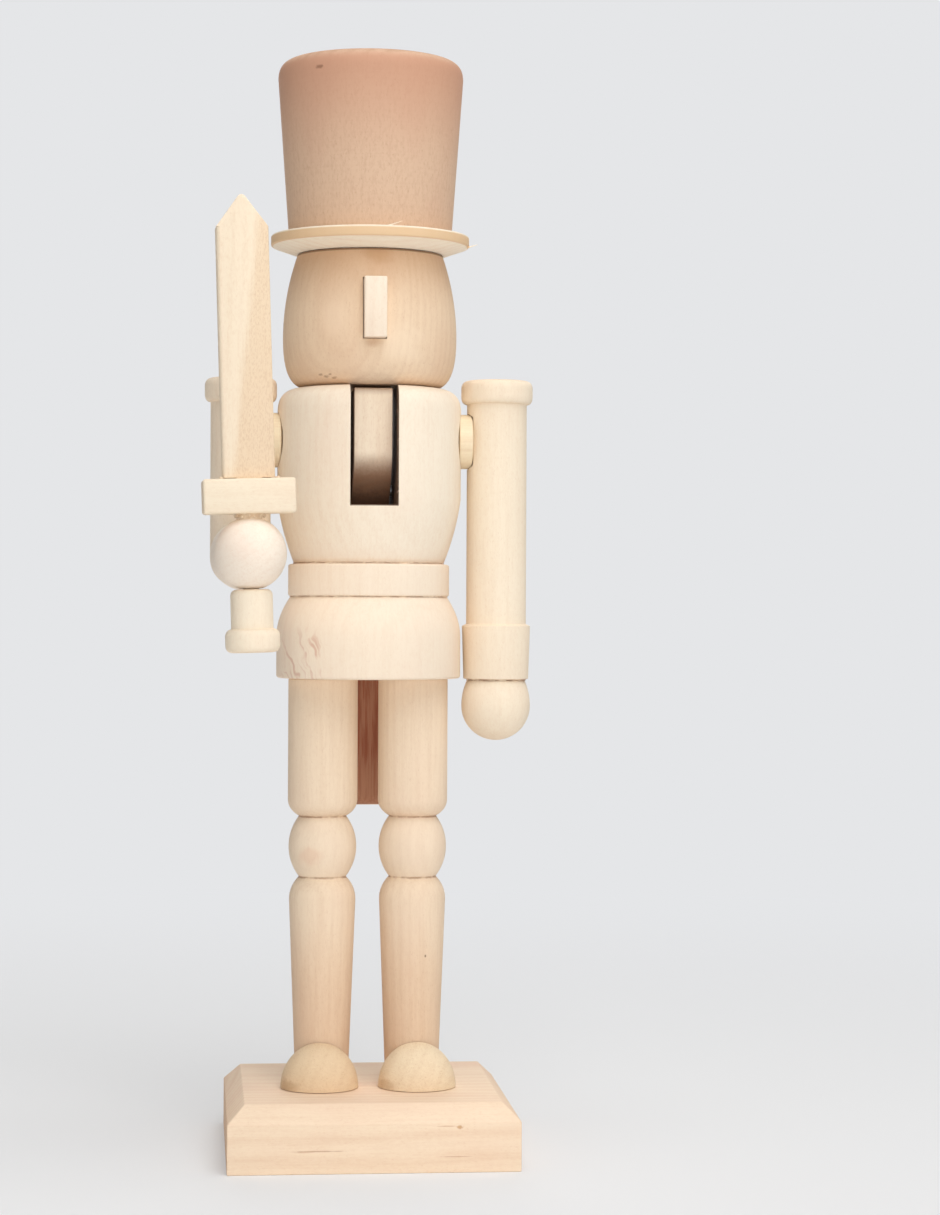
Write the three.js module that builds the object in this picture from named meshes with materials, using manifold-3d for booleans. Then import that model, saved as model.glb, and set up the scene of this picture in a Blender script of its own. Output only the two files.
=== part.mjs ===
// A bare-wood nutcracker soldier on a square block, in millimetres, +Z up.
// The origin is the middle of the block's underside, and the soldier faces -Y.
// Left and right are the soldier's own, so the left arm is on the +X side.
import * as THREE from "three";
import { ConvexGeometry } from "three/addons/geometries/ConvexGeometry.js";
import { mergeVertices } from "three/addons/utils/BufferGeometryUtils.js";
import Module from "manifold-3d";

const wasm = await Module();
wasm.setup();

// Fits between the pieces
const GLUE_GAP = 0.15; // glue line between two seated faces
const DOWEL_FIT = 0.12; // radial glue room round a fixed dowel
const RUNNING_FIT = 0.09; // radial play round a pin or dowel that turns
const CURVED_FIT = 0.3; // room between a piece and the round piece that it is scribed to
const SWING_GAP = 0.4; // room between a swinging arm and the coat

// Base block
const BASE_WIDTH = 60;
const BASE_DEPTH = 60;
const BASE_HEIGHT = 13.8;
const BASE_CHAMFER = 3.6;

// Legs, each turned in one piece
const SHIN_LENGTH = 43.8;
const KNEE_LENGTH = 12.9;
const THIGH_LENGTH = 29.2;
const ANKLE_RADIUS = 5.6;
const CALF_RADIUS = 7.25;
const KNEE_RADIUS = 7.2;
const THIGH_RADIUS = 7.4;
const KNEE_GROOVE_RADIUS = 5;
const CALF_ROUND = 5.1; // height of the calf's rounded top
const CALF_CORNER = 2.2; // how far below the groove its curve turns
const KNEE_CORNER = 2.9; // how far from a groove the knee's curve turns
const THIGH_ROUND = 3.6; // height of the thigh's rounded lower end
const THIGH_CORNER = 1.3; // how far above the groove its curve turns
const LEG_GAP = 4.4; // between the two thighs
const LEG_DOWEL_RADIUS = 2.5;
const LEG_DOWEL_DEPTH = 8;

// Feet, each a half ball with a flat, scribed back
const FOOT_WIDTH = 16.4;
const FOOT_LENGTH = 8.2; // from the ball's middle to the toe
const FOOT_HEIGHT = 9.2;
const FOOT_REACH = 6.4; // from the leg's axis to the ball's middle
const FOOT_HEEL = 1.5; // from the ball's middle to the flat back
const FOOT_TURNOUT = 0.7; // each foot sits this much further out than its leg

// Torso, turned in one piece with the belt and the coat's skirt
const SKIRT_RADIUS = 19.6;
const SKIRT_WALL = 8.8; // upright part of the skirt
const SKIRT_HEIGHT = 17.1;
const SKIRT_TOP_RADIUS = 16.8;
const SKIRT_EDGE = 0.6; // broken lower edge
const BELT_RADIUS = 17.15;
const BELT_HEIGHT = 6.6;
const BELT_GROOVE = 0.4; // width of the cut line above and below the belt
const BELT_GROOVE_DEPTH = 1.1;
const WAIST_RADIUS = 16;
const CHEST_RADIUS = 19.55;
const CHEST_TAPER = 13.5; // height over which the waist swells to the chest
const CHEST_HEIGHT = 37;
const SHOULDER_ROUND = 4.9;

// Mouth slot, cut from front to back, and the jaw lever that swings in it
const SLOT_WIDTH = 10;
const SLOT_DROP = 25.2; // from the top of the torso to the slot's front sill
const SLOT_SILL = 2.5; // level part of the slot's floor at the front
const SLOT_FALL = 0.75; // fall of the slot's floor towards the back, mm per mm
const LEVER_SIDE_GAP = 1; // on each side of the lever
const LEVER_DEPTH = 12; // of the lever's slanting middle
const LEVER_FALL = 0.77; // fall of the lever's middle towards the back, mm per mm
const JAW_RECESS = 5.5; // the jaw's front behind the chest's front
const JAW_TOP_GAP = 0.6; // the jaw's top below the top of the torso
const JAW_DEPTH = 14;
const JAW_FACE = 13.5; // height of the jaw's upright front
const JAW_EDGE = 0.8; // rounded top front edge
const CHIN_ROUND = 4.6;
const CHIN_DROP = 6.2;
const THROAT_ROUND = 4;
const TAIL_GAP = 0.8; // between the lever's tail and the coat
const TAIL_DEPTH = 7.5;
const TAIL_BEND = 12; // length of the curve into the tail
const TAIL_REACH = 28.6; // the tail's end below the skirt
const TAIL_ROUND = 2.4;
const PIVOT_DROP = 21.5; // from the top of the torso to the lever's pin
const PIVOT_BACK = 3; // the pin behind the figure's axis
const PIN_RADIUS = 1.25;
const PIN_INSET = 0.7; // the pin's ends below the chest's surface

// Head and nose
const HEAD_HEIGHT = 28.2;
const CHIN_RADIUS = 13.6; // flat underside of the head
const CHEEK_RADIUS = 18.5;
const CHEEK_HEIGHT = 10.5; // height of the widest ring
const BROW_RADIUS = 15.5; // flat top of the head
const NECK_DOWEL_RADIUS = 2;
const NECK_DOWEL_DEPTH = 7;
const NECK_DOWEL_INSET = 5; // from the slot's wall to the dowel
const NOSE_WIDTH = 4.7;
const NOSE_HEIGHT = 12.6;
const NOSE_LIFT = 9.2; // the nose's lower end above the head's underside
const NOSE_OUT = 2.3; // the nose's front beyond the widest ring
const NOSE_TENON = 4; // the nose's root inside the widest ring

// Hat
const BRIM_RADIUS = 21.1;
const BRIM_EDGE = 2.1; // upright rim
const BRIM_BEVEL = 1.9; // height of the bevelled underside
const BRIM_SEAT_RADIUS = 15.7;
const CROWN_FOOT_RADIUS = 17.35;
const CROWN_TOP_RADIUS = 19.7;
const CROWN_HEIGHT = 37;
const CROWN_ROUND = 3.8;
const HAT_DOWEL_RADIUS = 4;
const HAT_DOWEL_DEPTH = 9;

// Arms, turned with a shoulder cap, a cuff and a ball hand
const SHOULDER_DROP = 11; // from the top of the torso to the shoulder axis
const ARM_RISE = 13.1; // from the shoulder axis to the top of the cap
const ARM_REACH = 50.6; // from the shoulder axis to the cuff's lower end
const SLEEVE_RADIUS = 6.4;
const CAP_RADIUS = 7.65;
const CAP_HEIGHT = 5.1;
const CAP_ROUND = 1.8;
const CUFF_RADIUS = 7.3;
const CUFF_LENGTH = 11.7;
const WRIST_RADIUS = 6.2; // bottom of the cut line between cuff and hand
const WRIST_GROOVE = 0.4;
const HAND_RADIUS = 7.35;
const HAND_NECK = 5.8; // from the cuff to the hand's widest ring
const SPACER_RADIUS = 5.8;
const SPOT_DEPTH = 1; // depth of the flat seats for the spacer
const SHOULDER_DOWEL_RADIUS = 3;
const SHOULDER_DOWEL_DEPTH = 9.5; // into the torso, and into the arm up to its outer wall
const ARM_WALL = 3; // wood left outside the shoulder dowel

// Sword arm, bent by a glued mitre at the elbow
const ELBOW_DROP = 24.8; // from the shoulder axis to the elbow
const FOREARM_REACH = 35; // from the elbow to the hand's widest ring
const MITRE = Math.PI / 4; // half of the elbow's right angle
const FOREARM_TURN = 2.4; // degrees that the forearm points inwards
const ELBOW_DOWEL_RADIUS = 1.6;
const ELBOW_DOWEL_DEPTH = 5;
const HAND_FLAT = 7; // from the hand's middle to the flats for guard and grip
const SWORD_LEAN = 1.8; // degrees that the sword leans outwards

// Sword
const GUARD_STAND = 1; // thickness of the bead of glue that the guard stands on
const GUARD_WIDTH = 18.6;
const GUARD_DEPTH = 8;
const GUARD_HEIGHT = 7;
const BLADE_WIDTH = 10.5;
const BLADE_THICKNESS = 4;
const BLADE_LENGTH = 50.2; // from the guard to the shoulders of the point
const BLADE_POINT = 7.1;
const TANG_WIDTH = 5;
const TANG_DEPTH = 3;
const GRIP_RADIUS = 4.25;
const GRIP_LENGTH = 7.9;
const POMMEL_RADIUS = 5.5;
const POMMEL_HEIGHT = 4.8;
const POMMEL_ROUND = 1.6;
const SWORD_DOWEL_RADIUS = 1.6;
const SWORD_DOWEL_RISE = 2.6; // into the guard
const SWORD_DOWEL_DROP = 5; // into the grip

// Facets round a turned piece, and steps along a curve of its profile
const BODY_FACETS = 32;
const LIMB_FACETS = 24;
const ROD_FACETS = 20;
const CURVE_STEPS = 4;
const WELD = 1e-4;

// Heights and places that follow from the sizes
const legBottom = BASE_HEIGHT + GLUE_GAP;
const legLength = SHIN_LENGTH + KNEE_LENGTH + THIGH_LENGTH;
const torsoBottom = legBottom + legLength + GLUE_GAP;
const beltBottom = SKIRT_HEIGHT + BELT_GROOVE;
const chestBottom = beltBottom + BELT_HEIGHT + BELT_GROOVE;
const torsoHeight = chestBottom + CHEST_HEIGHT;
const torsoTop = torsoBottom + torsoHeight;
const headBottom = torsoTop + GLUE_GAP;
const brimBottom = headBottom + HEAD_HEIGHT + GLUE_GAP;
const brimHeight = BRIM_BEVEL + BRIM_EDGE;
const crownBottom = brimBottom + brimHeight + GLUE_GAP;
const legX = THIGH_RADIUS + LEG_GAP / 2;
const handReach = Math.max(CUFF_RADIUS, HAND_RADIUS);
const armX = Math.max(SKIRT_RADIUS + handReach, CHEST_RADIUS + SLEEVE_RADIUS) + SWING_GAP;
const shoulderZ = torsoTop - SHOULDER_DROP;
const leverThickness = SLOT_WIDTH - 2 * LEVER_SIDE_GAP;
const neckDowelX = SLOT_WIDTH / 2 + NECK_DOWEL_INSET;
const spacerInner = CHEST_RADIUS - SPOT_DEPTH + CURVED_FIT; // distance from the figure's axis
const spacerOuter = armX - SLEEVE_RADIUS + SPOT_DEPTH - GLUE_GAP;

// A closed mesh as a solid that can be joined and cut
function solid(geometry) {
  const bare = new THREE.BufferGeometry();
  bare.setAttribute("position", geometry.getAttribute("position"));
  bare.setIndex(geometry.getIndex());
  const welded = mergeVertices(bare, WELD);
  const corners = welded.getIndex().array;
  const triangles = [];
  for (let i = 0; i < corners.length; i += 3) {
    const [a, b, c] = corners.slice(i, i + 3);
    if (a !== b && b !== c && c !== a) triangles.push(a, b, c);
  }
  const vertProperties = new Float32Array(welded.getAttribute("position").array);
  const triVerts = new Uint32Array(triangles);
  return new wasm.Manifold(new wasm.Mesh({ numProp: 3, vertProperties, triVerts }));
}

function cut(blank, tools) {
  return tools.reduce((shape, tool) => shape.subtract(tool), blank);
}

function piece(name, shape, material) {
  const { vertProperties, triVerts } = shape.getMesh();
  const geometry = new THREE.BufferGeometry();
  geometry.setAttribute("position", new THREE.BufferAttribute(vertProperties, 3));
  geometry.setIndex(new THREE.BufferAttribute(triVerts, 1));
  geometry.computeVertexNormals();
  const mesh = new THREE.Mesh(geometry, material);
  mesh.name = name;
  return mesh;
}

function point(radius, height) {
  return new THREE.Vector2(radius, height);
}

function curve(start, control, end) {
  return new THREE.QuadraticBezierCurve(start, control, end).getPoints(CURVE_STEPS);
}

// Turns a profile of (radius, height) points, from the lower pole to the upper one, round Z
function turned(profile, facets) {
  const blank = new THREE.LatheGeometry(profile, facets);
  return solid(blank.rotateX(Math.PI / 2));
}

// A round rod that stands on the origin along +Z
function rodGeometry(radius, length) {
  const rod = new THREE.CylinderGeometry(radius, radius, length, ROD_FACETS);
  return rod.rotateX(Math.PI / 2).translate(0, 0, length / 2);
}

function rod(radius, length, x, y, z) {
  return solid(rodGeometry(radius, length).translate(x, y, z));
}

// A round rod along X between two distances from the figure's axis
function crossRod(radius, fromX, toX, y, z) {
  const lying = rodGeometry(radius, toX - fromX).rotateY(Math.PI / 2);
  return solid(lying.translate(fromX, y, z));
}

function block(width, depth, height, x, y, z) {
  return solid(new THREE.BoxGeometry(width, depth, height).translate(x, y, z));
}

function wood(colour) {
  return new THREE.MeshStandardMaterial({ color: colour, roughness: 0.75, metalness: 0 });
}

const paleWood = wood("#f3ddc2");
const tanWood = wood("#e6c6a2");
const hatWood = wood("#dcb896");
const baseWood = wood("#efd3b3");
const dowelWood = wood("#dcc29c");
const steel = new THREE.MeshStandardMaterial({ color: "#a9abad", roughness: 0.35, metalness: 1 });

function baseBlock() {
  const corners = [];
  const rings = [
    [0, 0],
    [0, BASE_HEIGHT - BASE_CHAMFER],
    [BASE_CHAMFER, BASE_HEIGHT],
  ];
  for (const [inset, height] of rings) {
    for (const [sideX, sideY] of [[-1, -1], [1, -1], [1, 1], [-1, 1]]) {
      const x = sideX * (BASE_WIDTH / 2 - inset);
      const y = sideY * (BASE_DEPTH / 2 - inset);
      corners.push(new THREE.Vector3(x, y, height));
    }
  }
  const holeBottom = BASE_HEIGHT - LEG_DOWEL_DEPTH - GLUE_GAP;
  const holes = [-legX, legX].map((x) =>
    rod(LEG_DOWEL_RADIUS + DOWEL_FIT, BASE_HEIGHT, x, 0, holeBottom),
  );
  return cut(solid(new ConvexGeometry(corners)), holes);
}

// Radius of the tapering shin at a height above its foot
function shinRadius(height) {
  return ANKLE_RADIUS + ((CALF_RADIUS - ANKLE_RADIUS) * height) / SHIN_LENGTH;
}

function leg() {
  const kneeTop = SHIN_LENGTH + KNEE_LENGTH;
  const kneeRing = point(KNEE_RADIUS, SHIN_LENGTH + KNEE_LENGTH / 2);
  const lowGroove = point(KNEE_GROOVE_RADIUS, SHIN_LENGTH);
  const highGroove = point(KNEE_GROOVE_RADIUS, kneeTop);
  const calfTop = SHIN_LENGTH - CALF_ROUND;
  const calfTurn = SHIN_LENGTH - CALF_CORNER;
  const thighTurn = point(THIGH_RADIUS, kneeTop + THIGH_CORNER);
  const thighSide = point(THIGH_RADIUS, kneeTop + THIGH_ROUND);
  const profile = [
    point(0, 0),
    point(ANKLE_RADIUS, 0),
    ...curve(point(shinRadius(calfTop), calfTop), point(shinRadius(calfTurn), calfTurn), lowGroove),
    ...curve(lowGroove, point(KNEE_RADIUS, SHIN_LENGTH + KNEE_CORNER), kneeRing).slice(1),
    ...curve(kneeRing, point(KNEE_RADIUS, kneeTop - KNEE_CORNER), highGroove).slice(1),
    ...curve(highGroove, thighTurn, thighSide).slice(1),
    point(THIGH_RADIUS, legLength),
    point(0, legLength),
  ];
  const holeRadius = LEG_DOWEL_RADIUS + DOWEL_FIT;
  const holeTop = LEG_DOWEL_DEPTH + GLUE_GAP;
  return cut(turned(profile, LIMB_FACETS), [
    rod(holeRadius, 2 * holeTop, 0, 0, -holeTop),
    rod(holeRadius, 2 * holeTop, 0, 0, legLength - holeTop),
  ]);
}

// A half ball, flat below and behind, hollowed to fit the front of its leg at legOffset
function foot(legOffset) {
  const ball = new THREE.SphereGeometry(1, LIMB_FACETS, ROD_FACETS);
  ball.scale(FOOT_WIDTH / 2, FOOT_LENGTH, FOOT_HEIGHT);
  const frontDepth = FOOT_LENGTH + FOOT_HEEL;
  const keep = block(FOOT_WIDTH, frontDepth, FOOT_HEIGHT, 0, FOOT_HEEL - frontDepth / 2, FOOT_HEIGHT / 2);
  const notchRadius = shinRadius(FOOT_HEIGHT) + CURVED_FIT;
  const notch = rod(notchRadius, 3 * FOOT_HEIGHT, legOffset, FOOT_REACH, -FOOT_HEIGHT);
  return solid(ball).intersect(keep).subtract(notch);
}

function torso() {
  const grooveRadius = Math.min(BELT_RADIUS, SKIRT_TOP_RADIUS, WAIST_RADIUS) - BELT_GROOVE_DEPTH;
  const beltTop = beltBottom + BELT_HEIGHT;
  const chestSide = chestBottom + CHEST_TAPER;
  const shoulderFoot = torsoHeight - SHOULDER_ROUND;
  const profile = [
    point(0, 0),
    point(SKIRT_RADIUS - SKIRT_EDGE, 0),
    point(SKIRT_RADIUS, SKIRT_EDGE),
    ...curve(
      point(SKIRT_RADIUS, SKIRT_WALL),
      point(SKIRT_RADIUS, (SKIRT_WALL + SKIRT_HEIGHT) / 2),
      point(SKIRT_TOP_RADIUS, SKIRT_HEIGHT),
    ),
    point(grooveRadius, SKIRT_HEIGHT),
    point(grooveRadius, beltBottom),
    point(BELT_RADIUS, beltBottom),
    point(BELT_RADIUS, beltTop),
    point(grooveRadius, beltTop),
    point(grooveRadius, chestBottom),
    ...curve(
      point(WAIST_RADIUS, chestBottom),
      point((WAIST_RADIUS + 3 * CHEST_RADIUS) / 4, chestBottom + CHEST_TAPER / 2),
      point(CHEST_RADIUS, chestSide),
    ),
    ...curve(
      point(CHEST_RADIUS, shoulderFoot),
      point(CHEST_RADIUS, torsoHeight),
      point(CHEST_RADIUS - SHOULDER_ROUND, torsoHeight),
    ),
    point(0, torsoHeight),
  ];
  const hipRadius = LEG_DOWEL_RADIUS + DOWEL_FIT;
  const hipTop = LEG_DOWEL_DEPTH + GLUE_GAP;
  const neckRadius = NECK_DOWEL_RADIUS + DOWEL_FIT;
  const neckDepth = NECK_DOWEL_DEPTH + GLUE_GAP;
  const axisHeight = torsoHeight - SHOULDER_DROP;
  const boreEnd = CHEST_RADIUS - SHOULDER_DOWEL_DEPTH - GLUE_GAP;
  const seat = CHEST_RADIUS - SPOT_DEPTH;
  const reach = 2 * CHEST_RADIUS;
  const tools = [mouthSlot()];
  for (const side of [-1, 1]) {
    tools.push(rod(hipRadius, 2 * hipTop, side * legX, 0, -hipTop));
    tools.push(rod(neckRadius, 2 * neckDepth, side * neckDowelX, 0, torsoHeight - neckDepth));
    const bore = crossRod(SHOULDER_DOWEL_RADIUS + RUNNING_FIT, boreEnd, reach, 0, axisHeight);
    const spot = crossRod(SPACER_RADIUS + CURVED_FIT, seat, reach, 0, axisHeight);
    const turn = side > 0 ? 0 : 180;
    tools.push(bore.rotate([0, 0, turn]), spot.rotate([0, 0, turn]));
  }
  tools.push(crossRod(PIN_RADIUS + DOWEL_FIT, -reach, reach, PIVOT_BACK, torsoHeight - PIVOT_DROP));
  return cut(turned(profile, BODY_FACETS), tools);
}

// An outline in (distance behind the figure's axis, height), sawn from a board across X
function sawn(outline, thickness) {
  const board = new THREE.ExtrudeGeometry(outline, {
    depth: thickness,
    bevelEnabled: false,
    curveSegments: CURVE_STEPS,
  });
  board.rotateX(Math.PI / 2).rotateZ(Math.PI / 2);
  return solid(board.translate(-thickness / 2, 0, 0));
}

// The slot is open above and behind, with a level sill in front of a falling floor
function mouthSlot() {
  const far = 2 * Math.max(CHEST_RADIUS, SKIRT_RADIUS);
  const sill = torsoHeight - SLOT_DROP;
  const sillEnd = SLOT_SILL - CHEST_RADIUS;
  const outline = new THREE.Shape();
  outline.moveTo(-far, sill);
  outline.lineTo(sillEnd, sill);
  outline.lineTo(far, sill - SLOT_FALL * (far - sillEnd));
  outline.lineTo(far, torsoHeight + far);
  outline.lineTo(-far, torsoHeight + far);
  outline.closePath();
  return sawn(outline, SLOT_WIDTH);
}

// The lever: an upright jaw, a slanting middle on the pin, and a tail down the soldier's back
function jawLever() {
  const jawTop = torsoHeight - JAW_TOP_GAP;
  const jawFront = JAW_RECESS - CHEST_RADIUS;
  const jawBack = jawFront + JAW_DEPTH;
  const faceFoot = jawTop - JAW_FACE;
  const chinBack = jawFront + CHIN_ROUND;
  const chinFoot = faceFoot - CHIN_DROP;
  const under = (y) => chinFoot - LEVER_FALL * (y - chinBack);
  const over = (y) => under(y) + LEVER_DEPTH * Math.hypot(1, LEVER_FALL);
  const tailFront = Math.max(SKIRT_RADIUS, SKIRT_TOP_RADIUS, BELT_RADIUS, CHEST_RADIUS) + TAIL_GAP;
  const tailBack = tailFront + TAIL_DEPTH;
  const tailEnd = -TAIL_REACH;
  const throatFoot = jawBack + THROAT_ROUND;
  const outline = new THREE.Shape();
  outline.moveTo(jawFront + JAW_EDGE, jawTop);
  outline.quadraticCurveTo(jawFront, jawTop, jawFront, jawTop - JAW_EDGE);
  outline.lineTo(jawFront, faceFoot);
  outline.quadraticCurveTo(jawFront, under(jawFront), chinBack, chinFoot);
  outline.lineTo(tailFront - TAIL_BEND, under(tailFront - TAIL_BEND));
  outline.quadraticCurveTo(tailFront, under(tailFront), tailFront, under(tailFront) - TAIL_BEND);
  outline.lineTo(tailFront, tailEnd + TAIL_ROUND);
  outline.quadraticCurveTo(tailFront, tailEnd, tailFront + TAIL_ROUND, tailEnd);
  outline.lineTo(tailBack - TAIL_ROUND, tailEnd);
  outline.quadraticCurveTo(tailBack, tailEnd, tailBack, tailEnd + TAIL_ROUND);
  outline.lineTo(tailBack, over(tailBack) - TAIL_BEND);
  outline.quadraticCurveTo(tailBack, over(tailBack), tailBack - TAIL_BEND, over(tailBack - TAIL_BEND));
  outline.lineTo(throatFoot, over(throatFoot));
  outline.quadraticCurveTo(jawBack, over(jawBack), jawBack, over(jawBack) + THROAT_ROUND);
  outline.lineTo(jawBack, jawTop);
  outline.closePath();
  const pinHole = crossRod(
    PIN_RADIUS + RUNNING_FIT,
    -leverThickness,
    leverThickness,
    PIVOT_BACK,
    torsoHeight - PIVOT_DROP,
  );
  return cut(sawn(outline, leverThickness), [pinHole]);
}

function jawPin() {
  const halfLength = Math.sqrt(CHEST_RADIUS ** 2 - PIVOT_BACK ** 2) - PIN_INSET;
  return crossRod(PIN_RADIUS, -halfLength, halfLength, PIVOT_BACK, torsoHeight - PIVOT_DROP);
}

function nose(fit) {
  const depth = NOSE_OUT + NOSE_TENON + fit;
  const front = -(CHEEK_RADIUS + NOSE_OUT);
  const middle = NOSE_LIFT + NOSE_HEIGHT / 2;
  return block(NOSE_WIDTH + 2 * fit, depth, NOSE_HEIGHT + 2 * fit, 0, front + depth / 2, middle);
}

function head() {
  const widest = point(CHEEK_RADIUS, CHEEK_HEIGHT);
  const profile = [
    point(0, 0),
    ...curve(point(CHIN_RADIUS, 0), point(CHEEK_RADIUS, 0), widest),
    ...curve(
      widest,
      point(CHEEK_RADIUS, (CHEEK_HEIGHT + HEAD_HEIGHT) / 2),
      point(BROW_RADIUS, HEAD_HEIGHT),
    ).slice(1),
    point(0, HEAD_HEIGHT),
  ];
  const neckRadius = NECK_DOWEL_RADIUS + DOWEL_FIT;
  const neckTop = NECK_DOWEL_DEPTH + GLUE_GAP;
  const hatDepth = HAT_DOWEL_DEPTH + GLUE_GAP;
  return cut(turned(profile, BODY_FACETS), [
    nose(GLUE_GAP),
    rod(neckRadius, 2 * neckTop, -neckDowelX, 0, -neckTop),
    rod(neckRadius, 2 * neckTop, neckDowelX, 0, -neckTop),
    rod(HAT_DOWEL_RADIUS + DOWEL_FIT, 2 * hatDepth, 0, 0, HEAD_HEIGHT - hatDepth),
  ]);
}

function hatBrim() {
  const profile = [
    point(0, 0),
    point(BRIM_SEAT_RADIUS, 0),
    point(BRIM_RADIUS, BRIM_BEVEL),
    point(BRIM_RADIUS, brimHeight),
    point(0, brimHeight),
  ];
  const hole = rod(HAT_DOWEL_RADIUS + DOWEL_FIT, 3 * brimHeight, 0, 0, -brimHeight);
  return cut(turned(profile, BODY_FACETS), [hole]);
}

function hatCrown() {
  const profile = [
    point(0, 0),
    point(CROWN_FOOT_RADIUS, 0),
    ...curve(
      point(CROWN_TOP_RADIUS, CROWN_HEIGHT - CROWN_ROUND),
      point(CROWN_TOP_RADIUS, CROWN_HEIGHT),
      point(CROWN_TOP_RADIUS - CROWN_ROUND, CROWN_HEIGHT),
    ),
    point(0, CROWN_HEIGHT),
  ];
  const holeTop = HAT_DOWEL_DEPTH + GLUE_GAP;
  const hole = rod(HAT_DOWEL_RADIUS + DOWEL_FIT, 2 * holeTop, 0, 0, -holeTop);
  return cut(turned(profile, BODY_FACETS), [hole]);
}

// Profile of a cuff and ball hand, from the hand's pole up, with the cuff's lower end at height
function handProfile(height) {
  const palm = height - HAND_NECK;
  const lower = [];
  for (let step = 0; step <= CURVE_STEPS; step += 1) {
    const angle = (step / CURVE_STEPS) * (Math.PI / 2);
    lower.push(point(HAND_RADIUS * Math.sin(angle), palm - HAND_RADIUS * Math.cos(angle)));
  }
  const wrist = point(WRIST_RADIUS, height - WRIST_GROOVE);
  return [
    ...lower,
    ...curve(point(HAND_RADIUS, palm), point(HAND_RADIUS, (palm + height) / 2), wrist).slice(1),
    point(WRIST_RADIUS, height),
    point(CUFF_RADIUS, height),
    point(CUFF_RADIUS, height + CUFF_LENGTH),
    point(SLEEVE_RADIUS, height + CUFF_LENGTH),
  ];
}

// Profile of the rounded shoulder cap, from the sleeve up
function capProfile() {
  const capFoot = ARM_RISE - CAP_HEIGHT;
  const capSide = capFoot + CAP_ROUND;
  const capShoulder = ARM_RISE - CAP_ROUND;
  return [
    ...curve(point(SLEEVE_RADIUS, capFoot), point(CAP_RADIUS, capFoot), point(CAP_RADIUS, capSide)),
    ...curve(
      point(CAP_RADIUS, capShoulder),
      point(CAP_RADIUS, ARM_RISE),
      point(CAP_RADIUS - CAP_ROUND, ARM_RISE),
    ),
    point(0, ARM_RISE),
  ];
}

// Cuts for the shoulder dowel and spacer in an upper arm whose body is on the side given
function shoulderCuts(side) {
  const seat = SLEEVE_RADIUS - SPOT_DEPTH;
  const boreEnd = SLEEVE_RADIUS - ARM_WALL + GLUE_GAP;
  const far = 2 * CAP_RADIUS;
  const bore = crossRod(SHOULDER_DOWEL_RADIUS + DOWEL_FIT, -far, boreEnd, 0, 0);
  const spot = crossRod(SPACER_RADIUS + CURVED_FIT, -far, -seat, 0, 0);
  const turn = side > 0 ? 0 : 180;
  return [bore.rotate([0, 0, turn]), spot.rotate([0, 0, turn])];
}

function leftArm() {
  const profile = [...handProfile(-ARM_REACH), ...capProfile()];
  return cut(turned(profile, LIMB_FACETS), shoulderCuts(1));
}

// Everything beyond a plane through (0, 0, height) that faces along +Z turned about X
function beyond(height, turn) {
  const size = 6 * SLEEVE_RADIUS;
  const slab = new THREE.BoxGeometry(size, size, size).translate(0, 0, size / 2 - GLUE_GAP / 2);
  return solid(slab.rotateX(turn).translate(0, 0, height));
}

function elbowHole(height, turn) {
  const length = 2 * (ELBOW_DOWEL_DEPTH + GLUE_GAP);
  const hole = rodGeometry(ELBOW_DOWEL_RADIUS + DOWEL_FIT, length).translate(0, 0, -length / 2);
  return solid(hole.rotateX(turn).translate(0, 0, height));
}

function rightUpperArm() {
  const profile = [
    point(0, -ELBOW_DROP - 2 * SLEEVE_RADIUS),
    point(SLEEVE_RADIUS, -ELBOW_DROP - 2 * SLEEVE_RADIUS),
    ...capProfile(),
  ];
  const mitred = cut(turned(profile, LIMB_FACETS), [
    beyond(-ELBOW_DROP, Math.PI - MITRE),
    elbowHole(-ELBOW_DROP, Math.PI - MITRE),
  ]);
  return cut(mitred.rotate([0, 0, FOREARM_TURN]), shoulderCuts(-1));
}

// Modelled hanging down from the elbow at the origin, with the sword hand's bore near Y
function rightForearm() {
  const wrist = HAND_NECK - FOREARM_REACH;
  const profile = [
    ...handProfile(wrist),
    point(SLEEVE_RADIUS, 2 * SLEEVE_RADIUS),
    point(0, 2 * SLEEVE_RADIUS),
  ];
  const hand = 4 * HAND_RADIUS;
  const flatMiddle = HAND_FLAT + hand / 2;
  const bore = rodGeometry(SWORD_DOWEL_RADIUS + DOWEL_FIT, hand).translate(0, 0, -hand / 2);
  const swordCuts = [
    solid(bore.rotateX(Math.PI / 2).translate(0, 0, -FOREARM_REACH)),
    block(hand, hand, 2 * HAND_NECK, 0, flatMiddle, -FOREARM_REACH),
    block(hand, hand, 2 * HAND_NECK, 0, -flatMiddle, -FOREARM_REACH),
  ];
  return cut(turned(profile, LIMB_FACETS), [
    beyond(0, MITRE),
    elbowHole(0, MITRE),
    ...swordCuts.map((tool) => tool.rotate([0, 0, -SWORD_LEAN])),
  ]);
}

// Sword pieces are modelled about the middle of the sword hand
const guardBottom = HAND_FLAT + GUARD_STAND;
const guardTop = guardBottom + GUARD_HEIGHT;
const gripTop = -HAND_FLAT - GLUE_GAP;

function swordGuard() {
  const mortiseDepth = TANG_DEPTH + GLUE_GAP;
  const mortiseWidth = TANG_WIDTH + 2 * DOWEL_FIT;
  const mortiseThickness = BLADE_THICKNESS + 2 * DOWEL_FIT;
  const holeRise = SWORD_DOWEL_RISE + GLUE_GAP;
  return cut(block(GUARD_WIDTH, GUARD_DEPTH, GUARD_HEIGHT, 0, 0, guardBottom + GUARD_HEIGHT / 2), [
    block(mortiseWidth, mortiseThickness, 2 * mortiseDepth, 0, 0, guardTop),
    rod(SWORD_DOWEL_RADIUS + DOWEL_FIT, 2 * holeRise, 0, 0, guardBottom - holeRise),
  ]);
}

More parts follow.
